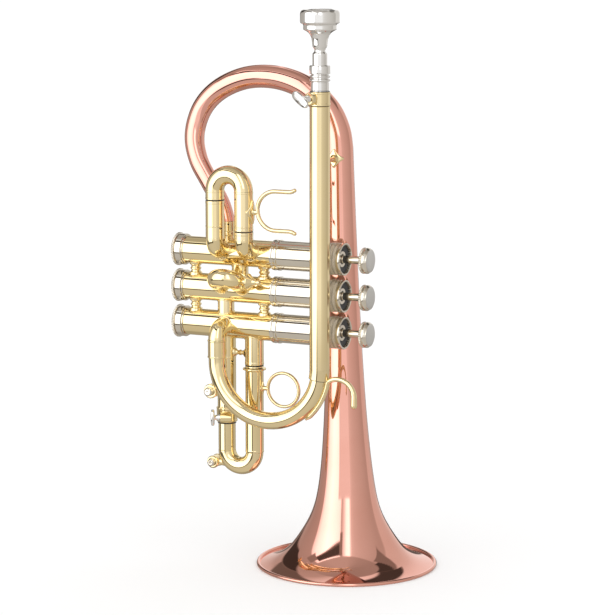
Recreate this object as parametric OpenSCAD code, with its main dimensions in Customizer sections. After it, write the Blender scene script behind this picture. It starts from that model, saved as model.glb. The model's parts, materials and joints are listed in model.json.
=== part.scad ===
// Soprano cornet with a shepherd's crook, standing on its bell.
// Origin: centre of the bell rim on the ground. +Z up along the bell, +X towards the
// finger buttons, -Y towards the leadpipe side.

/* [Bell] */
// Radius of the bell at its lip
bell_r = 62.5; // [58:0.5:66]
// Wall of the bell stem
bell_wall = 0.6; // [0.5:0.1:0.9]
// Height where the upright flare meets the leaning stem
flare_top = 60; // [50:1:70]
// Height of the top of the stem
stem_top = 290; // [285:1:295]
// Lean of the stem towards the casings, in degrees
stem_lean = 1.5; // [1:0.1:2]

/* [Valves] */
// Height of the third (lowest) valve axis
valve3_z = 167; // [166:0.5:168]
// Distance between neighbouring valve axes
valve_pitch = 25.2; // [25:0.1:25.6]
// Distance of the valve axes in front of the bell axis
valve_depth = 23.9; // [23.7:0.1:24]
// Outside radius of the brass casings
casing_r = 9.35; // [9.2:0.05:9.5]
// Radius of the cylinder bore
bore_r = 8.25; // [8.1:0.05:8.4]
// Travel of a piston
piston_travel = 13.5; // [12:0.5:13.5]

/* [Tubing] */
// Distance of the leadpipe in front of the bell axis
front_depth = 42.4; // [42.2:0.1:43]
// Outside radius of the leadpipe tube
lead_r = 6.85; // [6.7:0.05:7]
// Outside radius of the bow tubing
bow_r = 5.9; // [5.8:0.05:6]
// Outside radius of the slide sleeves
sleeve_r = 6.5; // [6.4:0.05:6.6]
// Radius of the leadpipe bow
bow_bend_r = 38.7; // [38:0.1:39]

/* [Mouthpiece] */
// Outside radius of the mouthpiece rim
rim_r = 13.2; // [13:0.05:14]

/* [Hidden] */
$fn = 72;
run = 0.05;           // radial clearance of a running fit
gap = 0.35;           // gap between faces of pieces that move apart
tube_wall = 0.5;

copper = [0.84, 0.56, 0.47];
yellow_brass = [0.86, 0.74, 0.46];
nickel = [0.78, 0.77, 0.72];
silver = [0.86, 0.87, 0.88];
black_felt = [0.08, 0.08, 0.08];
spring_steel = [0.60, 0.61, 0.63];

valve_y = -valve_depth;
front_y = -front_depth;
valve_z = [valve3_z + 2 * valve_pitch, valve3_z + valve_pitch, valve3_z];

// Places along the valve axes
cap_end_x = -124;      // tip of the bottom cap's dome
casing_x0 = -113.3;    // left end of the brass casing
casing_x1 = -43.5;     // right end of the brass casing
upper_x1 = -2.5;       // right end of the upper casing
top_cap_x1 = 9.5;      // face of the top cap
button_x0 = 21.5;      // underside of the finger button
button_x1 = 28.2;      // face of the finger button
upper_casing_r = 10;
piston_x0 = -99;
piston_x1 = -46;
piston_r = bore_r - run;
stem_r = 2.7;

// Places of the ports along the casings
port_a = -80.7;
slide1_a = -79.7;
slide1_b = -57.9;
slide2_a = -80.2;
slide2_b = -64.2;
slide3_b = -59.3;
cross12_x = -70;
cross23_x = -81;
cross_r = 5.7;
tail_r = 6.1;
port_r = 4.8;

bell_lip_z = 0.9;

// Leadpipe and bow
lead_x = -1.2;
bow_left_x = lead_x - 2 * bow_bend_r;
bow_z = 144.5;
lead_z0 = 138;
lead_z1 = 322;
collar_z1 = 331.6;
receiver_z1 = 348.6;
elbow_bend_r = 8;
elbow_z = valve3_z - elbow_bend_r;

// First slide, legs up
slide1_foot_z = 228.5;
slide1_left_gap_z = 255.3;
slide1_right_gap_z = 234.7;
slide1_bow_z = 262;
slide1_entry = 15;     // rise of the ports above level, in degrees

// Second slide, short, pointing forwards and up
slide2_tilt = 25;
slide2_gap_d = 15;
slide2_bow_d = 16.8;

// Third slide, legs down
slide3_gap_left_z = 98.4;
slide3_gap_right_z = 139.7;
slide3_bow_z = 78.6;
slide3_bead_z = 137.2;
leg3_sleeve_r = 6.3;

function bell_radius(z) =
    134 * pow(z + 4.93, -0.468) * (bell_r / 62.5) + 4.1 * exp(-pow((z - 15.6) / 18, 2));

function catmull(p, i, t) =
    let (a = p[max(i - 1, 0)], b = p[i], c = p[i + 1], d = p[min(i + 2, len(p) - 1)])
    0.5 * (2 * b + (c - a) * t + (2 * a - 5 * b + 4 * c - d) * t * t
        + (3 * b - a - 3 * c + d) * t * t * t);

function unit(v) = v / norm(v);

// ---------- shared shapes ----------

module tube(ro, ri, h) {
    difference() {
        cylinder(r = ro, h = h);
        translate([0, 0, -1]) cylinder(r = ri, h = h + 2);
    }
}

// A rod along +X that starts at the given place.
module along_x(p) { translate(p) rotate([0, 90, 0]) children(); }

// A bend in the XZ plane: angles run from +X towards +Z.
module bend_xz(p, R, ro, ri, a0, a1) {
    translate(p) rotate([90, 0, 0]) rotate([0, 0, a0])
        rotate_extrude(angle = a1 - a0) translate([R, 0]) difference() {
            circle(r = ro);
            if (ri > 0) circle(r = ri);
        }
}

// A bend in the YZ plane: angles run from +Y towards +Z.
module bend_yz(p, R, ro, ri, a0, a1) {
    translate(p) rotate([90, 0, 90]) rotate([0, 0, a0])
        rotate_extrude(angle = a1 - a0) translate([R, 0]) difference() {
            circle(r = ro);
            if (ri > 0) circle(r = ri);
        }
}

// The solid cylinder that a brass casing fills, used to cut what is soldered to it.
module casing_solid(i, r = casing_r) {
    along_x([casing_x0, valve_y, valve_z[i]]) cylinder(r = r, h = upper_x1 - casing_x0);
}

// A thumbscrew along +Z: threaded shank, neck and a flat oblong head across the end.
module thumbscrew(shank_l, reach, head_l, head_w) {
    head_t = 2.2;
    cylinder(r = 1.9, h = shank_l);
    translate([0, 0, shank_l]) cylinder(r1 = 2.6, r2 = 1.7, h = reach - shank_l);
    translate([0, 0, reach]) union() {
        for (s = [-1, 1]) translate([0, s * (head_l - head_w) / 2, 0])
            cylinder(r = head_w / 2, h = head_t);
        translate([-head_w / 2, -(head_l - head_w) / 2, 0])
            cube([head_w, head_l - head_w, head_t]);
    }
}

// Scalloped tube that stands for a coil spring along +Z.
module coil(r, wire_r, length, turns) {
    step = length / turns;
    rotate_extrude() union() {
        translate([r - wire_r * 0.4, 0]) square([wire_r * 0.8, length]);
        for (k = [0:turns - 1]) translate([r, (k + 0.5) * step]) circle(r = wire_r, $fn = 24);
    }
}

// ---------- bell and crook ----------

// Half the bell's outline between two heights: steps get finer towards the lip.
module bell_profile(z0, z1, steps, inset) {
    rise = inset > 0 ? 0.8 : 0;
    zs = [for (k = [0:steps]) z0 + (z1 - z0) * pow(k / steps, 1.8)];
    polygon(concat([for (z = zs) [bell_radius(z + rise) - inset, z]], [[0, z1], [0, z0]]));
}

// Everything above the flare leans with the stem, from a level cut.
module stem_place() {
    translate([0, 0, flare_top]) rotate([0, -stem_lean, 0]) translate([0, 0, -flare_top])
        children();
}

module flare_solid(inset = 0) {
    rotate_extrude() bell_profile(bell_lip_z, flare_top, 22, inset);
}

module stem_solid(inset = 0) {
    difference() {
        stem_place() rotate_extrude() bell_profile(flare_top - 2, stem_top, 14, inset);
        translate([-50, -50, flare_top - 20]) cube([100, 100, 20]);
    }
}

module bell_solid() {
    flare_solid();
    stem_solid();
}

module bell_flare() {
    color(copper) difference() {
        flare_solid();
        flare_solid(bell_wall);
    }
}

module bell_stem() {
    color(copper) difference() {
        stem_solid();
        stem_solid(bell_wall);
    }
}

module rim_wire() {
    wire_r = 1.25;
    lip_r = bell_radius(bell_lip_z);
    color(copper) intersection() {
        difference() {
            translate([0, 0, wire_r - 0.1]) rotate_extrude()
                translate([lip_r + wire_r * 0.45, 0]) circle(r = wire_r);
            bell_solid();
        }
        cylinder(r = 100, h = 10);
    }
}

// Points along the middle of the crook, from the tail tube round to the bell stem.
tail_z = 239;
crook_end = [-sin(stem_lean) * (stem_top - flare_top), 0,
    flare_top + cos(stem_lean) * (stem_top - flare_top)];
crook_path = [
    [port_a, valve_y, tail_z], [-84.6, -23.4, 250.5], [-93.6, -22, 264], [-104.4, -19, 280],
    [-108.4, -16.5, 297], [-103.6, -13.5, 315], [-91, -11, 328.2], [-71.6, -8, 336.3],
    [-50, -5, 336.7], [-30, -3, 330], [-15, -1.2, 316.8], [-8, -0.3, 303], crook_end
];
crook_sides = 20;
crook_rings_per_span = 4;

module crook_surface(inset) {
    spans = len(crook_path) - 1;
    rings = spans * crook_rings_per_span;
    lead_in = [0, 0, -10];
    lead_out = [sin(stem_lean) * 10, 0, -10];
    p = concat([crook_path[0] + lead_in], crook_path, [crook_end + lead_out]);
    r_tail = 5.95;
    r_stem = bell_radius(stem_top);
    over = inset > 0 ? 1 : 0;
    function centre(k) = let (s = k / crook_rings_per_span, i = min(floor(s), spans - 1))
        catmull(p, i + 1, s - i);
    function ring_centre(k) = k == 0 ? centre(k) - over * heading(k)
        : k == rings ? centre(k) + over * heading(k) : centre(k);
    function heading(k) = k == 0 ? [0, 0, 1]
        : k == rings ? [sin(stem_lean), 0, -1] : unit(centre(k + 0.5) - centre(k - 0.5));
    function ring_r(k) = r_tail + (r_stem - r_tail) * pow(k / rings, 1.15) - inset;
    points = [for (k = [0:rings], s = [0:crook_sides - 1])
        let (t = unit(heading(k)), side = unit(cross(t, [0, 1, 0])), lift = cross(side, t),
            a = 360 * s / crook_sides)
        ring_centre(k) + ring_r(k) * (cos(a) * side + sin(a) * lift)];
    last = rings * crook_sides;
    polyhedron(points, concat(
        [[for (s = [crook_sides - 1:-1:0]) s]],
        [for (k = [0:rings - 1], s = [0:crook_sides - 1])
            let (n = (s + 1) % crook_sides, b = k * crook_sides)
            [b + s, b + crook_sides + n, b + crook_sides + s]],
        [for (k = [0:rings - 1], s = [0:crook_sides - 1])
            let (n = (s + 1) % crook_sides, b = k * crook_sides)
            [b + s, b + n, b + crook_sides + n]],
        [[for (s = [0:crook_sides - 1]) last + s]]));
}

module crook() {
    color(copper) difference() {
        crook_surface(0);
        crook_surface(tube_wall);
    }
}

module tail_tube() {
    color(yellow_brass) difference() {
        translate([port_a, valve_y, valve_z[0]]) union() {
            tube(tail_r, 5.4, tail_z - valve_z[0]);
            translate([0, 0, tail_z - valve_z[0] - 3]) tube(6.5, tail_r, 3);
        }
        casing_solid(0);
    }
}

// ---------- valves ----------

module casing(i) {
    z = valve_z[i];
    bead_r = 10.5;
    color(yellow_brass) difference() {
        along_x([casing_x0, valve_y, z]) difference() {
            union() {
                cylinder(r = casing_r, h = casing_x1 - casing_x0);
                cylinder(r = bead_r, h = 2);
            }
            translate([0, 0, -1]) cylinder(r = bore_r, h = casing_x1 - casing_x0 + 2);
        }
        for (port = casing_ports[i])
            translate([port[0], valve_y, z]) rotate([port[1], 0, 0]) cylinder(r = port_r, h = 12);
    }
}

// Each port: place along the casing, and the turn from straight up towards -Y.
casing_ports = [
    [[port_a, 0], [slide1_a, 90 - slide1_entry], [slide1_b, 90 - slide1_entry], [cross12_x, 180]],
    [[cross12_x, 0], [slide2_a, 90 - slide2_tilt], [slide2_b, 90 - slide2_tilt],
        [cross23_x, 180]],
    [[cross23_x, 0], [bow_left_x, 90], [port_a, 180], [slide3_b, 180]]
];

module upper_casing(i) {
    bead_r = 10.6;
    color(nickel) along_x([casing_x1, valve_y, valve_z[i]]) difference() {
        union() {
            cylinder(r = upper_casing_r, h = upper_x1 - casing_x1);
            for (z = [0, 3.4]) translate([0, 0, z]) cylinder(r = bead_r, h = 2.2);
        }
        translate([0, 0, -1]) cylinder(r = bore_r, h = upper_x1 - casing_x1 + 2);
    }
}

// Caps screw on to the left ends of the casings; the profile runs leftwards from the casing.
module bottom_caps() {
    cap_l = casing_x0 - cap_end_x;
    edge_r = 11.8;
    dome = [for (a = [0:10:90]) [9.6 * cos(a), cap_l - 3 + 3 * sin(a)]];
    color(nickel) for (z = valve_z) translate([casing_x0, valve_y, z]) rotate([0, -90, 0])
        rotate_extrude() difference() {
            polygon(concat([[0, 0], [9.4, 0], [9.4, 1.6], [edge_r, 2.4], [edge_r, 6.4],
                [10.6, 7.2]], dome));
            translate([-1, -1]) square([8.7 + 1, 7.2]);
        }
}

module top_caps() {
    cap_r = 11.1;
    recess_r = 9.7;
    cap_l = top_cap_x1 - upper_x1;
    color(nickel) for (z = valve_z) along_x([upper_x1, valve_y, z])
        rotate_extrude() difference() {
            polygon([[3.4, 0], [10.3, 0], [10.3, 0.8], [cap_r, 1.2], [cap_r, 10.4],
                [10.7, cap_l], [3.4, cap_l]]);
            translate([-1, -1]) square([8.4 + 1, 8.5]);
            translate([-1, cap_l - 3.5]) square([recess_r + 1, 5]);
        }
}

module cap_felts() {
    color(black_felt) for (z = valve_z) along_x([top_cap_x1 - 3.5, valve_y, z]) tube(9.4, 3.6, 1.4);
}

module valve_guides() {
    color(yellow_brass) for (z = valve_z) along_x([-38, valve_y, z])
        tube(bore_r - 0.02, stem_r + 0.4, 3);
}

module piston(i) {
    body_l = piston_x1 - piston_x0;
    color(nickel) difference() {
        along_x([piston_x0, valve_y, valve_z[i]]) difference() {
            union() {
                cylinder(r = piston_r, h = body_l);
                cylinder(r = stem_r, h = 25 - piston_x0);
            }
            translate([0, 0, -1]) cylinder(r = 7.2, h = body_l - 9);
        }
        for (x = [port_a - 6, -68, slide1_b])
            translate([x, valve_y, valve_z[i]]) rotate([90, 0, 0])
                cylinder(r = 4.6, h = 40, center = true);
    }
}

module button(i) {
    face_r = 6.7;
    edge_r = 8.9;
    color(nickel) along_x([button_x0, valve_y, valve_z[i]]) rotate_extrude() polygon([
        [stem_r + 0.02, -0.5], [4.3, -0.5], [4.3, 0], [7.7, 0], [edge_r, 1.3], [edge_r, 3.9],
        [8.2, 5.4], [face_r, button_x1 - button_x0], [0, button_x1 - button_x0], [0, 3.5],
        [stem_r + 0.02, 3.5]
    ]);
}

module valve_spring(i) {
    color(spring_steel) along_x([-119.4, valve_y, valve_z[i]]) coil(5.6, 0.6, 63, 14);
}

module casing_spools() {
    end_r = 4.4;
    color(yellow_brass) difference() {
        for (x = [-104.5, -51.2], z = [valve_z[1], valve_z[2]])
            translate([x, valve_y, z + valve_pitch / 2]) rotate_extrude() polygon([
                [0, -7], [end_r + 0.6, -7], [end_r, -2.9], [3.2, -1.2], [3.2, -0.6], [3.8, 0],
                [3.2, 0.6], [3.2, 1.2], [end_r, 2.9], [end_r + 0.6, 7], [0, 7]
            ]);
        for (i = [0:2]) casing_solid(i);
    }
}

module crossover_tubes() {
    color(yellow_brass) difference() {
        union() {
            translate([cross12_x, valve_y, valve_z[1]]) tube(cross_r, 5, valve_pitch);
            translate([cross23_x, valve_y, valve_z[2]]) tube(cross_r, 5, valve_pitch);
        }
        for (i = [0:2]) casing_solid(i);
    }
}

// ---------- leadpipe ----------

bow_centre = [lead_x - bow_bend_r, front_y, bow_z];
lead_end_a = -asin((bow_z - lead_z0) / bow_bend_r);

module leadpipe_end_solid() {
    bend_xz(bow_centre, bow_bend_r, lead_r, 0, lead_end_a, 0);
}

module bow_solid() { bend_xz(bow_centre, bow_bend_r, bow_r, 0, -180, 0); }

module leadpipe() {
    color(yellow_brass) translate([lead_x, front_y, bow_z]) tube(lead_r, 6.05, lead_z1 - bow_z);
}

screw_dir = -112;       // heading of the collar screw in the XY plane, in degrees
collar_mid_z = (lead_z1 + collar_z1) / 2;

module leadpipe_collar() {
    color(yellow_brass) difference() {
        translate([lead_x, front_y, lead_z1]) union() {
            cylinder(r = 7.1, h = collar_z1 - lead_z1);
            translate([0, 0, collar_mid_z - lead_z1]) rotate([0, 90, screw_dir])
                cylinder(r = 4.3, h = 10.5);
        }
        translate([lead_x, front_y, lead_z1 - 1]) cylinder(r = 6.05, h = 12);
        translate([lead_x, front_y, collar_mid_z]) rotate([0, 90, screw_dir])
            cylinder(r = 1.95, h = 12);
    }
}

module collar_screw() {
    start = 6.4;
    color(silver) translate([lead_x, front_y, collar_mid_z]) rotate([0, 90, screw_dir])
        translate([0, 0, start]) rotate([0, 0, -30]) thumbscrew(10.8 - start, 16.6 - start, 16, 6.6);
}

module mouthpipe() {
    color(silver) translate([lead_x, front_y, 205]) tube(6, 5.2, collar_z1 + gap - 205);
}

receiver_z0 = collar_z1 + gap;

// The receiver's bore tapers to hold the mouthpiece shank.
module receiver() {
    h = receiver_z1 - receiver_z0;
    color(silver) translate([lead_x, front_y, receiver_z0]) rotate_extrude() polygon([
        [5.02, 0], [6.15, 0], [6.15, 5.6], [6.6, 6.1], [6.95, 7], [6.6, 7.9], [6.3, 8.3],
        [6.6, 8.8], [6.95, 9.6], [6.6, 10.4], [6.3, 10.8], [6.95, 11.6], [6.95, h - 0.6],
        [6.4, h], [5.02, h]
    ]);
}

module mouthpiece() {
    throat_r = 1.9;
    top_z = 385.3;
    color(silver) translate([lead_x, front_y, 0]) rotate_extrude() polygon([
        [throat_r, 314], [4.7, 314], [4.95, receiver_z1], [4.97, 356.2], [3.75, 357.6],
        [3.8, 359.2], [4.8, 360.4], [5.3, 364.6], [6.4, 368.3], [8.3, 370.4], [10.6, 371.8],
        [11.1, 372.4], [11.1, 375.3], [12.4, 375.9], [rim_r, 376.7], [rim_r, 383.3],
        [12.3, 384.8], [10.4, top_z], [8.8, 384.7], [8.2, 383.1], [7.9, 378.6], [6.6, 373.6],
        [4.2, 370.1], [throat_r + 0.3, 368], [throat_r, 365]
    ]);
}

module leadpipe_bow() {
    color(yellow_brass) {
        bend_xz(bow_centre, bow_bend_r, bow_r, 5.2, -180, 0);
        translate([bow_left_x, front_y, bow_z]) tube(bow_r, 5.2, 2);
    }
}

// One ferrule wraps the start of the bow, the other joins its end to the elbow.
module bow_ferrules() {
    z0 = bow_z + 2;
    h = elbow_z - z0;
    color(yellow_brass) {
        bend_xz(bow_centre, bow_bend_r, lead_r, bow_r, lead_end_a, 0);
        translate([bow_left_x, front_y, z0]) difference() {
            union() {
                cylinder(r = 6.35, h = h);
                for (z = [0, h - 1.2]) translate([0, 0, z]) cylinder(r = 6.6, h = 1.2);
            }
            translate([0, 0, -1]) cylinder(r = 5.4, h = h + 2);
        }
    }
}

module leadpipe_elbow() {
    color(yellow_brass) difference() {
        union() {
            bend_yz([bow_left_x, front_y + elbow_bend_r, elbow_z],
                elbow_bend_r, 6.1, 5.3, 90, 180);
            translate([bow_left_x, front_y + elbow_bend_r, valve3_z]) rotate([-90, 0, 0])
                tube(6.1, 5.3, 6);
        }
        casing_solid(2);
    }
}

// A strap along the outside of the bow that runs into an open arch for the little finger.
module finger_hook() {
    wire_r = 1.9;
    arch_r = 11.9;
    arch = [12.2, front_y, 126.7];
    tip_z = 121.5;
    color(yellow_brass) difference() {
        union() {
            bend_xz(bow_centre, bow_bend_r + bow_r + 0.9, wire_r, 0, -51.5, -12.2);
            bend_xz(arch, arch_r, wire_r, 0, 0, 136);
            translate([arch[0] + arch_r, front_y, tip_z]) cylinder(r = wire_r, h = arch[2] - tip_z);
            translate([arch[0] + arch_r, front_y, tip_z]) sphere(r = wire_r);
        }
        bow_solid();
        leadpipe_end_solid();
    }
}

// Rod from the leadpipe to a diamond flange on the bell stem.
module bell_brace() {
    z = 283.6;
    stem_x = -sin(stem_lean) * (z - flare_top);
    color(yellow_brass) difference() {
        union() {
            wrapped_diamond([stem_x, 0, z], 10.4, 7, 5.6);
            translate([stem_x + 1.2, -8, z]) rotate([90, 0, 4.5]) cylinder(r = 1.6, h = 34);
            translate([lead_x, front_y + 5, z]) rotate([-90, 0, 0]) cylinder(r = 3.2, h = 2.6);
        }
        bell_solid();
        translate([lead_x, front_y, z - 10]) cylinder(r = lead_r, h = 20);
    }
}

// A thin diamond plate that wraps round the -Y side of an upright tube.
module wrapped_diamond(p, r, half_w, half_h) {
    translate(p) intersection() {
        cylinder(r = r, h = 2 * half_h, center = true);
        rotate([90, 0, 0]) linear_extrude(height = 2 * r)
            polygon([[half_w, 0], [0, half_h], [-half_w, 0], [0, -half_h]]);
    }
}

// Short posts behind the leadpipe that tie the casings to the leadpipe and the bell.
module casing_standoffs() {
    post_x = -7.5;
    color(yellow_brass) difference() {
        for (i = [0, 2]) translate([post_x, 0, valve_z[i]]) rotate([90, 0, 0]) {
            translate([0, 0, 9]) cylinder(r = 2.6, h = 8);
            translate([0, 0, 31]) cylinder(r = 2.6, h = 7.5);
        }
        for (i = [0, 2]) casing_solid(i, upper_casing_r);
        bell_solid();
        translate([lead_x, front_y, 150]) cylinder(r = lead_r, h = 90);
    }
}

// ---------- first slide ----------

module slide1_elbows() {
    e = slide1_entry;
    end_y = front_y + elbow_bend_r * (1 - sin(e));
    reach = (valve_y - end_y) / cos(e);
    color(yellow_brass) difference() {
        for (x = [slide1_a, slide1_b]) {
            bend_yz([x, front_y + elbow_bend_r, slide1_foot_z], elbow_bend_r, 6.2, 5.3,
                180, 270 - e);
            translate([x, valve_y, valve_z[0]]) rotate([90 - e, 0, 0]) translate([0, 0, 7])
                tube(6.2, 5.3, reach - 7);
        }
        casing_solid(0);
        translate([port_a, valve_y, valve_z[0]]) cylinder(r = tail_r, h = 20);
    }
}

module slide1_fixed_legs() {
    inner_top = 257;
    color(yellow_brass) {
        translate([slide1_a, front_y, slide1_foot_z])
            tube(sleeve_r, 5.75, slide1_left_gap_z - gap - slide1_foot_z);
        translate([slide1_b, front_y, slide1_foot_z]) {
            tube(sleeve_r, 5, slide1_right_gap_z - gap - slide1_foot_z);
            tube(5.6, 5, inner_top - slide1_foot_z);
        }
    }
}

slide1_mid_x = (slide1_a + slide1_b) / 2;
slide1_bend_r = (slide1_b - slide1_a) / 2;

module slide1_bow() {
    color(yellow_brass) bend_xz([slide1_mid_x, front_y, slide1_bow_z], slide1_bend_r,
        sleeve_r, 5.4, 0, 180);
}

module slide1_legs() {
    inner_z0 = 231;
    color(yellow_brass) {
        translate([slide1_a, front_y, slide1_left_gap_z])
            tube(sleeve_r, 5, slide1_bow_z - slide1_left_gap_z);
        translate([slide1_a, front_y, inner_z0]) tube(5.7, 5, slide1_bow_z - inner_z0);
        translate([slide1_b, front_y, slide1_right_gap_z])
            tube(sleeve_r, 5.65, slide1_bow_z - slide1_right_gap_z);
    }
}

// Open C of wire for the thumb, on a diamond flange.
module thumb_saddle() {
    wire_r = 1.3;
    c_r = 14.9;
    c = [-33.4, front_y, 248.4];
    tip_l = 9.5;
    flick_r = 8;
    flick_a = 25;
    color(yellow_brass) difference() {
        union() {
            bend_xz(c, c_r, wire_r, 0, 90, 270);
            for (s = [-1, 1]) {
                along_x([c[0], front_y, c[2] + s * c_r]) cylinder(r = wire_r, h = tip_l);
                bend_xz([c[0] + tip_l, front_y, c[2] + s * (c_r + flick_r)], flick_r, wire_r, 0,
                    s > 0 ? -90 : 90 - flick_a, s > 0 ? -90 + flick_a : 90);
            }
            along_x([slide1_b + sleeve_r - 1, front_y, c[2]])
                cylinder(r = 2, h = c[0] - c_r - slide1_b - sleeve_r + 1);
            translate([slide1_b, front_y, c[2]]) rotate([0, 0, 90])
                wrapped_diamond([0, 0, 0], sleeve_r + 0.9, 5.8, 6.6);
        }
        translate([slide1_b, front_y, c[2] - 12]) cylinder(r = sleeve_r, h = 24);
    }
}

// ---------- second slide ----------

module slide2_place() {
    translate([0, valve_y, valve_z[1]]) rotate([90 - slide2_tilt, 0, 0]) children();
}

slide2_mid_x = (slide2_a + slide2_b) / 2;
slide2_bend_r = (slide2_b - slide2_a) / 2;
slide2_r = 6.1;

module slide2_sleeves() {
    color(yellow_brass) difference() {
        slide2_place() for (x = [slide2_a, slide2_b]) translate([x, 0, 6])
            tube(sleeve_r, 5.75, slide2_gap_d - gap - 6);
        casing_solid(1);
        translate([cross12_x, valve_y, valve_z[1]]) cylinder(r = cross_r, h = valve_pitch);
    }
}

module slide2_bow() {
    color(yellow_brass) slide2_place()
        bend_xz([slide2_mid_x, 0, slide2_bow_d], slide2_bend_r, slide2_r, 5.2, 0, 180);
}

module slide2_legs() {
    color(yellow_brass) slide2_place() for (x = [slide2_a, slide2_b]) {
        translate([x, 0, slide2_gap_d]) tube(sleeve_r, 5, slide2_bow_d - slide2_gap_d);
        translate([x, 0, 10]) tube(5.7, 5, slide2_bow_d - 10);
    }
}

module slide2_knob() {
    color(yellow_brass) slide2_place() difference() {
        along_x([slide2_b + 4, 0, slide2_bow_d + 2.1]) rotate_extrude() polygon([
            [0, 0], [1.8, 0], [1.8, 3.4], [5.6, 4.6], [5.8, 5.6], [2.2, 9.6], [1.6, 11.2],
            [2, 12.6], [1.4, 14], [0, 14.2]
        ]);
        bend_xz([slide2_mid_x, 0, slide2_bow_d], slide2_bend_r, slide2_r, 0, 0, 180);
    }
}

// ---------- third slide ----------

module slide3_fixed_legs() {
    color(yellow_brass) difference() {
        union() {
            translate([port_a, valve_y, slide3_gap_left_z])
                tube(6.55, 6.05, valve3_z - slide3_gap_left_z);
            translate([slide3_b, valve_y, slide3_gap_right_z])
                tube(6.55, 5, valve3_z - slide3_gap_right_z);
            translate([slide3_b, valve_y, 80]) tube(5.6, 5, valve3_z - 80);
        }
        casing_solid(2);
    }
}

module slide3_brace() {
    z = 147.8;
    span = slide3_b - port_a;
    color(yellow_brass) difference() {
        along_x([port_a, valve_y, z]) rotate_extrude() polygon([
            [0, 0], [3.4, 0], [3.4, 7], [1.5, 8.4], [1.5, span - 8.4], [3.4, span - 7],
            [3.4, span], [0, span]
        ]);
        for (x = [port_a, slide3_b]) translate([x, valve_y, z - 10]) cylinder(r = 6.55, h = 20);
    }
}

// The stop collar's screw lies across the front of the leg.
slide3_screw_dir = 204.5;
slide3_screw_offset = 9;
slide3_screw_z = 102.8;

module slide3_screw_place() {
    translate([port_a, valve_y, slide3_screw_z]) rotate([0, 90, slide3_screw_dir])
        translate([0, slide3_screw_offset, 0]) children();
}

module slide3_collar() {
    z0 = slide3_gap_left_z + 0.4;
    color(yellow_brass) difference() {
        union() {
            translate([port_a, valve_y, z0]) cylinder(r = 7.3, h = 10);
            slide3_screw_place() translate([0, 0, -3.5]) cylinder(r = 3.4, h = 8);
        }
        translate([port_a, valve_y, z0 - 1]) cylinder(r = 6.55, h = 12);
        slide3_screw_place() translate([0, 0, -5]) cylinder(r = 1.95, h = 12);
    }
}

module slide3_screw() {
    start = -3;
    color(silver) slide3_screw_place() translate([0, 0, start])
        rotate([0, 0, 90]) thumbscrew(4.9 - start, 8.4 - start, 11.4, 8);
}

slide3_mid_x = (port_a + slide3_b) / 2;
slide3_bend_r = (slide3_b - port_a) / 2;
slide3_bow_r = 6.1;

module slide3_bow_solid() {
    bend_xz([slide3_mid_x, valve_y, slide3_bow_z], slide3_bend_r, slide3_bow_r, 0, 180, 360);
}

module slide3_bow() {
    color(yellow_brass) bend_xz([slide3_mid_x, valve_y, slide3_bow_z], slide3_bend_r,
        slide3_bow_r, 5.3, 180, 360);
}

module slide3_legs() {
    bead_z = slide3_bead_z - 1;
    color(yellow_brass) {
        translate([port_a, valve_y, slide3_bow_z]) tube(6, 5.4, 150 - slide3_bow_z);
        translate([slide3_b, valve_y, slide3_bow_z])
            tube(leg3_sleeve_r, 5.65, slide3_gap_right_z - gap - slide3_bow_z);
        translate([slide3_b, valve_y, bead_z]) tube(8, 5.65, 2);
    }
}

module finger_ring() {
    wire_r = 1.1;
    ring_r = 11.7;
    c = [-37.2, valve_y, 124.1];
    color(yellow_brass) difference() {
        union() {
            bend_xz(c, ring_r, wire_r, 0, 0, 360);
            along_x([slide3_b + leg3_sleeve_r - 1, valve_y, c[2]])
                cylinder(r = 1.5, h = c[0] - ring_r - slide3_b - leg3_sleeve_r + 1);
        }
        translate([slide3_b, valve_y, c[2] - 10]) cylinder(r = leg3_sleeve_r, h = 20);
    }
}

// ---------- water keys ----------

// Everything lies along +Y: a barrel with a bore from the front, a plunger and its spring.
upper_key = [-83, front_y - 3, 123];
lower_key = [-90, valve_y - 5, 69.3];
key_l = 10;
bore_l = 8;
upper_plunger_r = 3;
lower_plunger_r = 2.6;
plunger_in = 3;

module along_y(p) { translate(p) rotate([-90, 0, 0]) children(); }

module water_key(p, r, plunger_r, saddle_l) {
    difference() {
        union() {
            along_y(p) cylinder(r = r, h = key_l);
            along_x(p + [0, key_l / 2, 0]) cylinder(r = 3.2, h = saddle_l);
        }
        along_y(p - [0, 1, 0]) cylinder(r = plunger_r + run, h = bore_l + 1);
        children();
    }
}

module plunger(p, r, out) {
    color(nickel) along_y(p - [0, out, 0]) rotate_extrude() polygon([
        [0, 0], [r - 0.8, 0], [r, 0.8], [r, out + plunger_in], [0, out + plunger_in]
    ]);
}

module water_spring(p, r) {
    color(spring_steel) along_y(p + [0, plunger_in, 0]) coil(r, 0.35, bore_l - plunger_in, 5);
}

module water_key_upper() {
    color(yellow_brass) water_key(upper_key, 5, upper_plunger_r, 8) bow_solid();
}

module water_key_lower() {
    color(yellow_brass) water_key(lower_key, 4.4, lower_plunger_r, 12) slide3_bow_solid();
}

module water_plunger_upper() { plunger(upper_key, upper_plunger_r, 3.8); }
module water_plunger_lower() { plunger(lower_key, lower_plunger_r, 3); }
module water_spring_upper() { water_spring(upper_key, 2.2); }
module water_spring_lower() { water_spring(lower_key, 1.9); }

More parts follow.
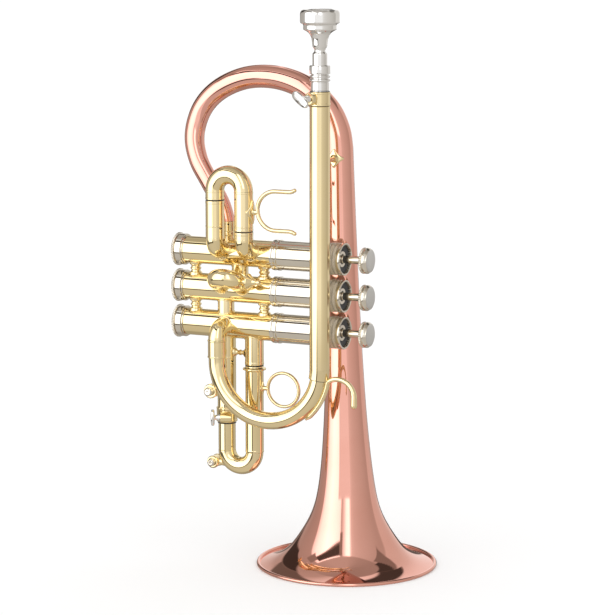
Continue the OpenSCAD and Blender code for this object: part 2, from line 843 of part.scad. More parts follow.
bell_flare();
bell_stem();
rim_wire();
crook();
tail_tube();
casing(0);  // casing_1
casing(1);  // casing_2
casing(2);  // casing_3
upper_casing(0);  // upper_casing_1
upper_casing(1);  // upper_casing_2
upper_casing(2);  // upper_casing_3
bottom_caps();
top_caps();
cap_felts();
valve_guides();
piston(0);  // piston_1
piston(1);  // piston_2
piston(2);  // piston_3
button(0);  // button_1
button(1);  // button_2
button(2);  // button_3
valve_spring(0);  // valve_spring_1
valve_spring(1);  // valve_spring_2
valve_spring(2);  // valve_spring_3
casing_spools();
crossover_tubes();
leadpipe();
leadpipe_collar();
mouthpipe();
receiver();
mouthpiece();
collar_screw();
leadpipe_bow();
bow_ferrules();
leadpipe_elbow();
finger_hook();
bell_brace();
casing_standoffs();
slide1_elbows();
slide1_fixed_legs();
slide1_bow();
slide1_legs();
thumb_saddle();
slide2_sleeves();
slide2_bow();
slide2_legs();
slide2_knob();
slide3_fixed_legs();
slide3_brace();
slide3_collar();
slide3_screw();
slide3_bow();
slide3_legs();
finger_ring();
water_key_upper();
water_key_lower();
water_plunger_upper();
water_plunger_lower();
water_spring_upper();
water_spring_lower();
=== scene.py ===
"""Looks for the soprano cornet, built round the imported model.

Shapes are written in millimetres, in the frame's own axes, and make() turns them to metres.
The floor, the light and the camera are in metres.
"""

import json
from math import asin, copysign, cos, degrees, exp, pi, radians, sin, sqrt, tan

import bpy
from mathutils import Matrix, Vector


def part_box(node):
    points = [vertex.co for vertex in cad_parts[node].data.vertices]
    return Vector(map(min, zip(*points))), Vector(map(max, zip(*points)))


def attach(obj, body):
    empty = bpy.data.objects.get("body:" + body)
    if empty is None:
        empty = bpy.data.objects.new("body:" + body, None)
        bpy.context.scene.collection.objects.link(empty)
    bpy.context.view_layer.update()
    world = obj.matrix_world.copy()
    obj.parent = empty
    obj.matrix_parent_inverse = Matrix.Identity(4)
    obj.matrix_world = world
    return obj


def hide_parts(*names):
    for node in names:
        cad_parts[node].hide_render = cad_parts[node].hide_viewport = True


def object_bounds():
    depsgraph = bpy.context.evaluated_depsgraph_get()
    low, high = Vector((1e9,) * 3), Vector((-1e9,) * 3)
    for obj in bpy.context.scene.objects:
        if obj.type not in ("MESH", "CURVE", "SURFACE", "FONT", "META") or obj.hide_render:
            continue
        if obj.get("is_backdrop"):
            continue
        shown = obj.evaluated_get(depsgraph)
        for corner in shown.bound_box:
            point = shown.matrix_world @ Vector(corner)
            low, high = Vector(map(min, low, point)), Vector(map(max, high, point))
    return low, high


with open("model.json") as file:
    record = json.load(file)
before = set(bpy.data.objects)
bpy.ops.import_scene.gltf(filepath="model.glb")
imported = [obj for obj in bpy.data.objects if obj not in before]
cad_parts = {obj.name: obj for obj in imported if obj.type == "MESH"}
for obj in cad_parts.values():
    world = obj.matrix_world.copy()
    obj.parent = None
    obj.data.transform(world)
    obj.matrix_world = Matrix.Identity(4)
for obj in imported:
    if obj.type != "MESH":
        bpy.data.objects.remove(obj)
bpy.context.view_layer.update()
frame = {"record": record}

MM = 0.001
SIDES = 96
FILLET, WIDE_FILLET = 0.15, 0.22
X, Y, Z = Vector((1, 0, 0)), Vector((0, 1, 0)), Vector((0, 0, 1))
VALVES = (1, 2, 3)

BODY_OF = {n: b for b, nodes in frame["record"]["behaviour"]["bodies"].items() for n in nodes}
SLOT_OF = {s["node"]: s["material_slot"] for s in frame["record"]["subparts"]}
JOINTS = {j["name"]: j for j in frame["record"]["behaviour"]["joints"]}


def span(node):
    """Lowest and highest corner of a CAD node, in millimetres."""
    low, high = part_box(node)
    return Vector(low) / MM, Vector(high) / MM


def centre(node):
    low, high = span(node)
    return (low + high) / 2


def add_object(name, data):
    obj = bpy.data.objects.new(name, data)
    bpy.context.scene.collection.objects.link(obj)
    return obj


# ---------- materials ----------

# Cells of noise to a metre.
TINT_CELLS, SMEAR_CELLS, FIBRE_CELLS = 35.0, 120.0, 2600.0


def link(tree, a, out, b, into):
    tree.links.new(a.outputs[out], b.inputs[into])


def add_node(tree, kind, **values):
    node = tree.nodes.new(kind)
    for key, value in values.items():
        if key in node.inputs:
            node.inputs[key].default_value = value
        else:
            setattr(node, key, value)
    return node


def new_material(name):
    mat = bpy.data.materials.new(name)
    mat.use_nodes = True
    return mat, mat.node_tree, mat.node_tree.nodes["Principled BSDF"]


def metal(name, colour, deep, rough, rough_swing, grain=900.0, bump=0.004):
    """Polished metal: faint tint changes, uneven polish and fine hairline marks."""
    mat, tree, shader = new_material(name)
    shader.inputs["Metallic"].default_value = 1.0
    coords = add_node(tree, "ShaderNodeTexCoord")
    tint = add_node(tree, "ShaderNodeTexNoise", Scale=TINT_CELLS, Detail=3.0)
    ramp = add_node(tree, "ShaderNodeValToRGB")
    ramp.color_ramp.elements[0].position = 0.3
    ramp.color_ramp.elements[0].color = (*deep, 1)
    ramp.color_ramp.elements[1].position = 0.62
    ramp.color_ramp.elements[1].color = (*colour, 1)
    link(tree, coords, "Object", tint, "Vector")
    link(tree, tint, "Fac", ramp, "Fac")
    link(tree, ramp, "Color", shader, "Base Color")
    smear = add_node(tree, "ShaderNodeTexNoise", Scale=SMEAR_CELLS, Detail=4.0)
    polish = add_node(tree, "ShaderNodeMapRange")
    polish.inputs["To Min"].default_value = rough - rough_swing
    polish.inputs["To Max"].default_value = rough + rough_swing
    link(tree, coords, "Object", smear, "Vector")
    link(tree, smear, "Fac", polish, "Value")
    link(tree, polish, "Result", shader, "Roughness")
    hair = add_node(tree, "ShaderNodeTexNoise", Scale=grain, Detail=2.0)
    dents = add_node(tree, "ShaderNodeBump", Strength=bump, Distance=0.0005)
    link(tree, coords, "Object", hair, "Vector")
    link(tree, hair, "Fac", dents, "Height")
    link(tree, dents, "Normal", shader, "Normal")
    return mat


def felt(name, colour):
    """Matt felt: fibres in lighter and darker shades of the colour, with some fuzz."""
    mat, tree, shader = new_material(name)
    shader.inputs["Roughness"].default_value = 0.95
    shader.inputs["Sheen Weight"].default_value = 0.25
    coords = add_node(tree, "ShaderNodeTexCoord")
    fibre = add_node(tree, "ShaderNodeTexNoise", Scale=FIBRE_CELLS, Detail=4.0)
    ramp = add_node(tree, "ShaderNodeValToRGB")
    ramp.color_ramp.elements[0].color = (*[c * 0.5 for c in colour], 1)
    ramp.color_ramp.elements[1].color = (*[c * 1.8 for c in colour], 1)
    fuzz = add_node(tree, "ShaderNodeBump", Strength=0.5, Distance=0.0003)
    link(tree, coords, "Object", fibre, "Vector")
    link(tree, fibre, "Fac", ramp, "Fac")
    link(tree, ramp, "Color", shader, "Base Color")
    link(tree, fibre, "Fac", fuzz, "Height")
    link(tree, fuzz, "Normal", shader, "Normal")
    return mat


FINISH = {
    "copper": metal("copper_lacquered", (0.89, 0.46, 0.375), (0.86, 0.43, 0.345), 0.045, 0.015),
    "yellow_brass": metal("brass_lacquered", (0.90, 0.755, 0.46), (0.88, 0.73, 0.42), 0.045, 0.015),
    "nickel": metal("nickel_polished", (0.74, 0.69, 0.60), (0.68, 0.63, 0.54), 0.08, 0.03),
    "nickel_satin": metal("nickel_satin", (0.70, 0.70, 0.69), (0.65, 0.65, 0.64), 0.34, 0.06,
                          grain=2400.0, bump=0.06),
    "silver": metal("silver_polished", (0.88, 0.875, 0.86), (0.82, 0.81, 0.80), 0.05, 0.02),
    "felt": felt("felt_black", (0.012, 0.012, 0.012)),
    "spring_steel": metal("spring_steel", (0.50, 0.51, 0.53), (0.42, 0.43, 0.45), 0.25, 0.05),
}


# ---------- mesh building ----------


def aim(at, axis, across=None):
    """A place whose +Z lies along axis, and whose +X lies as near to across as it can."""
    z = Vector(axis).normalized()
    hint = Vector(across) if across else (Z if abs(z.z) < 0.9 else X)
    y = z.cross(hint).normalized()
    x = y.cross(z)
    return Matrix.Translation(Vector(at)) @ Matrix((x, y, z)).transposed().to_4x4()


# A flatter corner stays as it is, and rounding takes at most this share of a side.
NEARLY_STRAIGHT, MOST_OF_SIDE = radians(176), 0.46
# A longer side than this gets guard points, this far from its rounded corners.
LONG_SIDE, GUARD_GAP = 2.5, 0.25


def soften(points, radius=FILLET, closed=True, steps=4):
    """The outline with each corner rounded.

    A long side gets a guard point near each corner, so that its shading stays straight.
    """
    out = []
    count = len(points)
    for i, p in enumerate(points):
        p = Vector(p)
        if not closed and i in (0, count - 1):
            out.append(p)
            continue
        a, b = Vector(points[i - 1]) - p, Vector(points[(i + 1) % count]) - p
        turn = a.angle(b, pi)
        if turn > NEARLY_STRAIGHT:
            out.append(p)
            continue
        cut = min(radius / tan(turn / 2), MOST_OF_SIDE * a.length,
                  MOST_OF_SIDE * b.length)
        start, end = p + a.normalized() * cut, p + b.normalized() * cut
        if a.length > LONG_SIDE:
            out.append(p + a.normalized() * (cut + GUARD_GAP))
        for k in range(steps + 1):
            t = k / steps
            out.append(start * (1 - t) ** 2 + p * 2 * t * (1 - t) + end * t * t)
        if b.length > LONG_SIDE:
            out.append(p + b.normalized() * (cut + GUARD_GAP))
    return out


def pipe(inner, outer, length, radius=FILLET):
    """The outline of a plain tube."""
    return soften([(inner, 0), (outer, 0), (outer, length), (inner, length)], radius)


def full_turn(count):
    """Evenly spaced angles round a circle."""
    return [2 * pi * k / count for k in range(count)]


def circle(middle, radius, x, y, count):
    """Points round a circle, from x towards y."""
    return [middle + radius * (cos(a) * x + sin(a) * y) for a in full_turn(count)]


def coil(start, length, u, v, radius, turns, steps):
    """Points of a coil, each as its place along the axis and its two places across it."""
    return [(start + length * k / (turns * steps), u + radius * cos(2 * pi * k / steps),
             v + radius * sin(2 * pi * k / steps)) for k in range(turns * steps + 1)]


def catmull(points, per_span):
    """A smooth curve through the points; the first and last only set its direction."""
    out = []
    for a, b, c, d in zip(points, points[1:], points[2:], points[3:]):
        for k in range(per_span):
            t = k / per_span
            out.append(0.5 * (2 * b + (c - a) * t + (2 * a - 5 * b + 4 * c - d) * t * t
                              + (3 * b - a - 3 * c + d) * t ** 3))
    return out + [points[-2]]


def arc(middle, radius, u, v, start, end, steps):
    """Points on an arc, at angles in degrees from u towards v."""
    middle = Vector(middle)
    angles = [radians(start + (end - start) * k / steps) for k in range(steps + 1)]
    return [middle + radius * (cos(a) * u + sin(a) * v) for a in angles]


AXIS_GAP = 0.01


class Shape:
    """Collects the surfaces of one piece. Nothing comes nearer to a lathe's axis than AXIS_GAP."""

    def __init__(self):
        self.verts = []
        self.faces = []

    def loft(self, rings, loop=False):
        """Joins rings of points. A loop closes on itself; otherwise flat ends close it."""
        base, n = len(self.verts), len(rings[0])
        for ring in rings:
            self.verts.extend(ring)
        last = len(rings) if loop else len(rings) - 1
        for k in range(last):
            a, b = base + k * n, base + (k + 1) % len(rings) * n
            for s in range(n):
                t = (s + 1) % n
                self.faces.append((a + s, a + t, b + t, b + s))
        if not loop:
            self.faces.append(tuple(base + s for s in reversed(range(n))))
            self.faces.append(tuple(base + (len(rings) - 1) * n + s for s in range(n)))
        return self

    def lathe(self, profile, place, sides=SIDES, loop=True, wave=None):
        """Turns (radius, height) points about the place's Z axis."""
        rings = []
        for r, h in profile:
            ring = []
            for a in full_turn(sides):
                reach = max(r, AXIS_GAP) + (wave(r, h, a) if wave else 0)
                ring.append(place @ Vector((reach * cos(a), reach * sin(a), h)))
            rings.append(ring)
        return self.loft(rings, loop)

    def sweep(self, path, radius, inner=None, sides=64):
        """A round bar along the path, or a tube if inner is given."""
        radius_at = radius if callable(radius) else (lambda t: radius)
        outer, bore = [], []
        x = None
        for k, p in enumerate(path):
            ahead = (path[min(k + 1, len(path) - 1)] - path[max(k - 1, 0)]).normalized()
            if x is None:
                x = ahead.orthogonal().normalized()
            x = (x - ahead * x.dot(ahead)).normalized()
            y = ahead.cross(x)
            outer.append(circle(p, radius_at(k / (len(path) - 1)), x, y, sides))
            if inner is not None:
                bore.append(circle(p, inner, x, y, sides))
        return self.loft(outer + bore[::-1], loop=inner is not None)

    def ring_bead(self, points, radius, sides):
        """A round bead along a closed line of points."""
        n = len(points)
        mid = sum(points, Vector()) / n
        rings = []
        for k, p in enumerate(points):
            ahead = (points[(k + 1) % n] - points[k - 1]).normalized()
            x = p - mid
            x = (x - ahead * x.dot(ahead)).normalized()
            rings.append(circle(p, radius, x, ahead.cross(x), sides))
        return self.loft(rings, loop=True)

    def ball(self, at, radius, sides=32, rings=16):
        profile = [(radius * sin(pi * k / rings), -radius * cos(pi * k / rings))
                   for k in range(rings + 1)]
        return self.lathe(profile, aim(at, Z), sides, loop=False)

    def plate(self, outline, place, thick, edge, dome):
        """A domed plate with rounded edges from a closed outline in the place's XY plane."""
        edge_steps, dome_steps = 5, 8
        mid = sum((Vector(p) for p in outline), Vector((0, 0))) / len(outline)

        def ring(inset, h):
            points = []
            for p in outline:
                away = Vector(p) - mid
                q = mid + away * max(0.02, 1 - inset / away.length)
                points.append(place @ Vector((q.x, q.y, h)))
            return points

        quarter = [pi / 2 * k / edge_steps for k in range(edge_steps + 1)]
        rings = [ring(edge, 0)]
        rings += [ring(edge - edge * sin(a), edge - edge * cos(a)) for a in quarter]
        rings += [ring(edge - edge * cos(a), thick - edge + edge * sin(a))
                  for a in quarter]
        size = min((Vector(p) - mid).length for p in outline)
        for k in range(1, dome_steps):
            inward = k / dome_steps
            rings.append(ring(edge + (size - edge) * inward,
                              thick + dome * (1 - (1 - inward) ** 2)))
        return self.loft(rings)


def make(shape, name, node=None, body=None, finish=None, sharp=35):
    """The finished object: it rides on its CAD node's body and stands for that node.

    An edge that bends by more than sharp degrees shows as a line.
    """
    mesh = bpy.data.meshes.new(name)
    mesh.from_pydata([v * MM for v in shape.verts], [], shape.faces)
    mesh.update()
    mesh.validate()
    mesh.shade_smooth()
    mesh.set_sharp_from_angle(angle=radians(sharp))
    obj = add_object(name, mesh)
    mesh.materials.append(FINISH[finish or SLOT_OF[node]])
    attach(obj, body or BODY_OF[node])
    if node:
        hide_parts(node)
    return obj


def stand_in(node, shape, sharp=35):
    return make(shape, node + "_fine", node, sharp=sharp)


def knurl(depth, teeth, low, high, twist):
    """Diamond knurling between two heights."""

    def wave(r, h, a):
        if not low <= h <= high:
            return 0
        up = (h - low) * twist
        ridge = abs(sin((a * teeth + up) / 2)) + abs(sin((a * teeth - up) / 2))
        return depth * (ridge / 2 - 1)

    return wave


def straight(a, b, steps):
    return [a + (b - a) * k / steps for k in range(steps + 1)]


def weld(shape, valve, at_x, out, tube_r, bead=0.55):
    """A solder bead where a tube leaves a valve's casing, whose axis lies along X."""
    out = Vector(out).normalized()
    side = out.cross(X)
    points = []
    for a in full_turn(72):
        reach = sqrt(max(0, CASING_R ** 2 - (tube_r * sin(a)) ** 2))
        points.append(Vector((at_x, *valve_axis[valve]))
                      + tube_r * (cos(a) * X + sin(a) * side) + reach * out)
    shape.ring_bead(points, bead, 12)


# ---------- bell, rim and crook ----------

LEAN = sin(radians(1.5))
FLARE_TOP, LEAN_BLEND = 60, 20
BELL_WALL = 0.6
RIM_WIRE_R = 1.25
CASING_R = 9.35
BORE_R = 8.25


def bell_radius(z):
    """The outside of the bell: a horn curve, made fuller low in the flare."""
    return 134 * (z + 4.93) ** -0.468 + 4.1 * exp(-((z - 15.6) / 18) ** 2)


def stem_x(z):
    """The stem leans a little once the flare is past; the change is smoothed."""
    if z <= FLARE_TOP - LEAN_BLEND:
        return 0
    if z < FLARE_TOP + LEAN_BLEND:
        return -LEAN * (z - FLARE_TOP + LEAN_BLEND) ** 2 / (4 * LEAN_BLEND)
    return -LEAN * (z - FLARE_TOP)


LIP, STEM_TOP = span("bell_flare")[0].z, span("bell_stem")[1].z

tail_low, tail_high = span("tail_tube")
tail_mid = (tail_low + tail_high) / 2
TAIL_R = 5.95
STEM_R = bell_radius(STEM_TOP)
crook_route = [Vector(p) for p in [
    (tail_mid.x, tail_mid.y, tail_high.z), (-84.6, -23.4, 250.5), (-93.6, -22, 264),
    (-104.4, -19, 280), (-108.4, -16.5, 297), (-103.6, -13.5, 315), (-91, -11, 328.2),
    (-71.6, -8, 336.3), (-50, -5, 336.7), (-30, -3, 330), (-15, -1.2, 316.8), (-8, -0.3, 303),
    (stem_x(STEM_TOP), 0, STEM_TOP)]]
crook_ends = (crook_route[0] - 10 * Z, crook_route[-1] - 10 * Z + 10 * LEAN * X)


def bell_and_crook():
    """One polished skin from the lip to the tail tube, as the soldered joint doesn't show."""
    sides, rows, rows_per_span = 128, 180, 14
    heights = [LIP + (STEM_TOP - LIP) * (k / rows) ** 2.2 for k in range(rows)]
    path = [Vector((stem_x(z), 0, z)) for z in heights]
    radii = [bell_radius(z) for z in heights]
    crook = catmull([crook_ends[0], *crook_route, crook_ends[1]], rows_per_span)[::-1]
    crook.append(crook[-1] - 3 * Z)
    for k, p in enumerate(crook):
        path.append(p)
        radii.append(TAIL_R + (STEM_R - TAIL_R) * (1 - k / (len(crook) - 1)) ** 1.15)
    radii_inside = [bell_radius(z + 0.8) - BELL_WALL for z in heights]
    radii_inside += [r - BELL_WALL for r in radii[len(heights):]]
    outer, inner = [], []
    x = X
    for k, p in enumerate(path):
        ahead = Z if k < len(heights) - 2 else (path[min(k + 1, len(path) - 1)]
                                                - path[k - 1]).normalized()
        x = (x - ahead * x.dot(ahead)).normalized()
        outer.append(circle(p, radii[k], x, ahead.cross(x), sides))
        inner.append(circle(p, radii_inside[k], x, ahead.cross(x), sides))
    return Shape().loft(outer + inner[::-1], loop=True)


bell = make(bell_and_crook(), "bell_and_crook", "bell_flare", sharp=60)
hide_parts("bell_stem", "crook")

rim_mid_r = bell_radius(LIP) + RIM_WIRE_R * 0.45
rim_profile = [(rim_mid_r + RIM_WIRE_R * cos(a),
                max(0, RIM_WIRE_R - 0.1 + RIM_WIRE_R * sin(a))) for a in full_turn(32)]
stand_in("rim_wire", Shape().lathe(rim_profile, aim((0, 0, 0), Z, X), 192))

tail = Shape()
valve_axis = {i: (centre(f"casing_{i}").y, centre(f"casing_{i}").z) for i in VALVES}
tail_foot = valve_axis[1][1]
tail_length = tail_high.z - tail_foot
tail.lathe(soften([(5.4, 5), (6.1, 5), (6.1, 8.6), (6.1, 11.6), (6.5, 12), (6.5, 14.2),
                   (6.25, 14.6), (6.5, 15), (6.5, tail_length - 0.3), (6.2, tail_length),
                   (6.0, tail_length), (6.0, tail_length - 4), (5.4, tail_length - 4)]),
           aim((tail_mid.x, tail_mid.y, tail_foot), Z))
weld(tail, 1, tail_mid.x, Z, 6.1)
stand_in("tail_tube", tail)

# ---------- valves ----------


def along_x(node, at=None):
    """A place along +X that starts at the node's left end, or at the given x."""
    low, high = span(node)
    mid = (low + high) / 2
    return aim((low.x if at is None else at, mid.y, mid.z), X, Z)


def at_valve(i, x, way=X):
    """A place on a valve's axis, facing along it."""
    return aim((x, *valve_axis[i]), way, Z)


for i in VALVES:
    node = f"casing_{i}"
    low, high = span(node)
    stand_in(node, Shape().lathe(pipe(BORE_R, CASING_R, high.x - low.x, WIDE_FILLET),
                                 along_x(node), 128))

    node = f"upper_casing_{i}"
    low, high = span(node)
    length = high.x - low.x
    collar = [(9.9, 0.0), (10.55, 0.4), (10.55, 1.6), (10.1, 2.2), (10.1, 3.2), (10.55, 3.8),
              (10.55, 5.0), (10.0, 5.5)]
    stand_in(node, Shape().lathe(soften(
        [(BORE_R, 0), *collar, (10.0, length - 4.2), (10.2, length - 3.9), (10.2, length - 0.2),
         (BORE_R, length)], WIDE_FILLET), along_x(node), 128))

CAP_WALL_R = 8.7
caps_top = span("bottom_caps")[1].x
bottom = Shape()
for i in VALVES:
    knurled = [(11.55, 3.2 + 0.1 * k) for k in range(12)]
    bottom.lathe([(9.42, -3.2), (9.9, -3.2), (10.15, -3.0), (10.15, -2.6), (9.8, -2.4), (9.8, -2.2),
                  (10.6, -2.0), (10.8, -1.8), (10.8, 2.1), (10.6, 2.35), (10.2, 2.45), (10.2, 2.7),
                  (11.3, 3.0), *knurled, (11.2, 4.6), (10.3, 4.8), (9.6, 4.85), (9.0, 5.2),
                  (6.5, 5.6), (0, 5.8), (0, 4.9), (8.2, 4.3), (CAP_WALL_R, 3.8), (CAP_WALL_R, -0.1),
                  (9.42, -0.1)],
                 at_valve(i, caps_top, -X), 384, wave=knurl(0.5, 60, 3.1, 4.4, 3.4))
stand_in("bottom_caps", bottom, sharp=28)

tops_low, tops_high = span("top_caps")
top_length = tops_high.x - tops_low.x
felts_low = span("cap_felts")[0]
tops, felts = Shape(), Shape()
for i in VALVES:
    bands = []
    for foot, top in ((1.3, 3.3), (4.0, 6.3), (7.0, 8.9)):
        bands += [(10.3, foot - 0.15), *[(11.1, foot + (top - foot) * k / 9) for k in range(10)],
                  (10.3, top + 0.15)]
    tops.lathe([(8.4, 0), (10.3, 0), (10.3, 0.7), *bands, (10.3, 9.5),
                (10.85, 9.8), (11.1, 10.2), (11.1, 11.2), (10.95, top_length - 0.2),
                (10.6, top_length), (9.9, top_length - 0.1), (9.7, top_length - 0.4),
                (9.7, top_length - 3.5), (5.6, top_length - 3.5), (5.6, top_length - 2.5),
                (5.3, top_length - 2.25), (3.7, top_length - 2.25), (3.4, top_length - 2.5),
                (3.4, 7.5), (8.4, 7.5)],
               at_valve(i, tops_low.x), 384, wave=knurl(0.8, 36, 1.2, 9.0, 3.4))
    felts.lathe(pipe(5.7, 9.4, 1.4, 0.3), at_valve(i, felts_low.x), 64)
stand_in("top_caps", tops, sharp=28)
stand_in("cap_felts", felts)

guides_low = span("valve_guides")[0]
guides = Shape()
for i in VALVES:
    guides.lathe(pipe(3.1, 8.2, 3, WIDE_FILLET), at_valve(i, guides_low.x), 64)
stand_in("valve_guides", guides)


def beading(r, h, a):
    """A row of small beads round the underside of a finger button."""
    return -0.35 * (1 - abs(sin(20 * a))) if r > 8 and 1.4 < h < 3.0 else 0


STEM_ROD_R = 2.7
PISTON_R, PISTON_BODY = 8.2, 53
COIL_TURNS, COIL_STEPS, COIL_R, COIL_WIRE_R, COIL_FOOT = 14, 24, 5.6, 0.55, 3.2
for i in VALVES:
    node = f"piston_{i}"
    low, high = span(node)
    length = high.x - low.x
    stand_in(node, Shape().lathe(soften([
        (7.2, 0), (PISTON_R, 0), (PISTON_R, PISTON_BODY), (STEM_ROD_R, PISTON_BODY),
        (STEM_ROD_R, length - 3.6), (2.3, length - 3.4), (2.3, length), (0, length),
        (0, PISTON_BODY - 9), (7.2, PISTON_BODY - 9)]), along_x(node), 72))

    node = f"button_{i}"
    low, high = span(node)
    edge = (high.y - low.y) / 2
    length = high.x - low.x
    beads = [(edge - 0.5 + 0.5 * cos(radians(a)), 2.2 + 0.75 * sin(radians(a)))
             for a in range(-80, 81, 20)]
    button = Shape().lathe(
        [(2.72, 0), (4.0, 0), (4.15, 0.15), (4.15, 0.9), (7.3, 1.05), (7.8, 1.3), *beads,
         (8.1, 3.1), (8.0, 3.35), (8.3, 3.55), (8.75, 3.75), (8.85, 4.0), (8.85, 4.9), (8.7, 5.3),
         (8.1, 6.1), (7.8, length - 0.45), (7.5, length - 0.35), (0, length - 0.35), (0, 4),
         (2.72, 4)], along_x(node), 240, wave=beading)
    stand_in(node, button, sharp=30)
    face = Shape().lathe([(0, 0), (7.5, 0), (7.45, 0.1), (7.3, 0.2), (6.0, 0.32), (0, 0.35)],
                         along_x(node, high.x - 0.36), 96, loop=False)
    make(face, node + "_face", body=BODY_OF[node], finish="nickel_satin")

    node = f"valve_spring_{i}"
    low, high = span(node)
    mid = (low + high) / 2
    foot = low.x + COIL_FOOT + COIL_WIRE_R
    wire = coil(foot, high.x - COIL_WIRE_R - foot, mid.y, mid.z, COIL_R, COIL_TURNS, COIL_STEPS)
    stand_in(node, Shape().sweep([Vector(p) for p in wire], COIL_WIRE_R, sides=10))

spools = Shape()
spool_low, spool_high = span("casing_spools")
SPOOL_R = 4.7
for x in (spool_low.x + SPOOL_R, spool_high.x - SPOOL_R):
    for upper, lower in ((1, 2), (2, 3)):
        y = valve_axis[upper][0]
        z = (valve_axis[upper][1] + valve_axis[lower][1]) / 2
        half = [(4.9, 4.6), (4.5, 3.7), (4.3, 3.1), (4.3, 2.7), (3.5, 2.3), (3.1, 1.5),
                (3.1, 0.9), (3.75, 0.5), (3.75, 0.15)]
        profile = [(r, h) for r, h in half] + [(r, -h) for r, h in reversed(half)]
        spools.lathe(soften([(0, 4.6), *profile, (0, -4.6)], closed=False),
                     aim((x, y, z), Z), 64, loop=False)
stand_in("casing_spools", spools)

cross = Shape()
cross_low, cross_high = span("crossover_tubes")
CROSS_R = 5.7
for x, upper, lower in ((cross_high.x - CROSS_R, 1, 2), (cross_low.x + CROSS_R, 2, 3)):
    y = valve_axis[upper][0]
    top, foot = valve_axis[upper][1], valve_axis[lower][1]
    cross.lathe([(5, 7), (CROSS_R, 7), (CROSS_R, top - foot - 7), (5, top - foot - 7)],
                aim((x, y, foot), Z))
    weld(cross, upper, x, -Z, CROSS_R)
    weld(cross, lower, x, Z, CROSS_R)
stand_in("crossover_tubes", cross)

# ---------- leadpipe, mouthpipe and mouthpiece ----------

lead_low, lead_high = span("leadpipe")
lead = (lead_low + lead_high) / 2
LEAD_R = (lead_high.x - lead_low.x) / 2
bow_low, bow_high = span("leadpipe_bow")
BOW_R = (bow_high.y - bow_low.y) / 2
bow_left_x = bow_low.x + BOW_R
bow_z = lead_low.z
bow_mid = Vector(((lead.x + bow_left_x) / 2, lead.y, bow_z))
BOW_BEND = (lead.x - bow_left_x) / 2
lead_length = lead_high.z - lead_low.z


def on_lead(z):
    """A place on the leadpipe's axis, facing up."""
    return aim((lead.x, lead.y, z), Z)


stand_in("leadpipe", Shape().lathe(
    [(6.05, 0), (LEAD_R, 0), (LEAD_R, lead_length - 0.7), (LEAD_R - 0.2, lead_length - 0.45),
     (6.05, lead_length - 0.45)], on_lead(lead_low.z), 128))

collar_low, collar_high = span("leadpipe_collar")
collar_h = collar_high.z - collar_low.z
screw_axis = Vector(JOINTS["collar_screw_turn"]["axis"])
collar_mid = Vector((lead.x, lead.y, (collar_low.z + collar_high.z) / 2))
collar = Shape().lathe(soften([
    (6.05, 0), (7.1, 0), (7.1, 1.3), (6.9, 1.6), (6.9, collar_h - 1.9), (7.1, collar_h - 1.6),
    (7.1, collar_h - 0.5), (6.05, collar_h - 0.5)]), on_lead(collar_low.z), 96)
collar.lathe(soften([(1.95, 6.4), (4.0, 6.4), (4.3, 7), (4.3, 9.6), (3.9, 10.4), (1.95, 10.5)],
                    0.2), aim(collar_mid, screw_axis), 48)
stand_in("leadpipe_collar", collar)


def thumbscrew(place, start, shank_end, head_at, half_length, half_width, turn):
    """A screw with an oblong head; turn is the angle of the head's long axis."""
    step, thread_r, ridge, squareness = 0.3, 1.75, 0.12, 0.78
    thread = [(thread_r + ridge * (k % 2), start + step * k)
              for k in range(int((shank_end - start) / step))]
    shape = Shape().lathe(
        [(0, start - 0.2), *thread, (2.6, shank_end), (2.3, shank_end + 0.8), (1.6, head_at - 0.8),
         (2.2, head_at + 0.3), (0, head_at + 0.3)], place, 48, loop=False)
    outline = []
    for a in full_turn(64):
        c, s = cos(a), sin(a)
        u = half_width * copysign(abs(c) ** squareness, c)
        v = half_length * copysign(abs(s) ** squareness, s)
        outline.append((u * cos(turn) - v * sin(turn),
                        u * sin(turn) + v * cos(turn)))
    shape.plate(outline, place @ Matrix.Translation((0, 0, head_at)), 2.2, 0.8, 0.25)
    return shape


def screw_place(at, axis):
    """Matches the turn of the CAD's screw: its own X points down."""
    return aim(at, axis, -Z)


stand_in("collar_screw", thumbscrew(screw_place(collar_mid, screw_axis), 6.5, 10.6, 16.6,
                                    8.0, 3.3, radians(-30)))

pipe_low, pipe_high = span("mouthpipe")
stand_in("mouthpipe", Shape().lathe(pipe(5.2, 6.0, pipe_high.z - pipe_low.z, WIDE_FILLET),
                                    on_lead(pipe_low.z)))
receiver_low, receiver_high = span("receiver")
receiver_h = receiver_high.z - receiver_low.z


def swell(mid_h, half, r_low, r_high):
    """A rounded bead on a profile."""
    steps = 8
    return [(r_low + (r_high - r_low) * sqrt(max(0, 1 - (2 * k / steps - 1) ** 2)),
             mid_h - half + 2 * half * k / steps) for k in range(steps + 1)]


stand_in("receiver", Shape().lathe(
    [(5.02, 0.1), (6.0, 0), (6.15, 0.2), (6.15, 5.3), (5.8, 5.5), (5.8, 5.8),
     *swell(6.9, 1.0, 5.8, 7.0), (5.7, 8.2), *swell(9.3, 0.9, 5.8, 6.95), (5.7, 10.4), (5.9, 10.8),
     (6.85, 11.1), (6.95, 11.6), (6.95, receiver_h - 0.8), (6.8, receiver_h - 0.35),
     (6.4, receiver_h), (5.3, receiver_h), (5.02, receiver_h - 0.3)], on_lead(receiver_low.z), 128))

mouth_low, mouth_high = span("mouthpiece")
RIM_R = (mouth_high.x - mouth_low.x) / 2
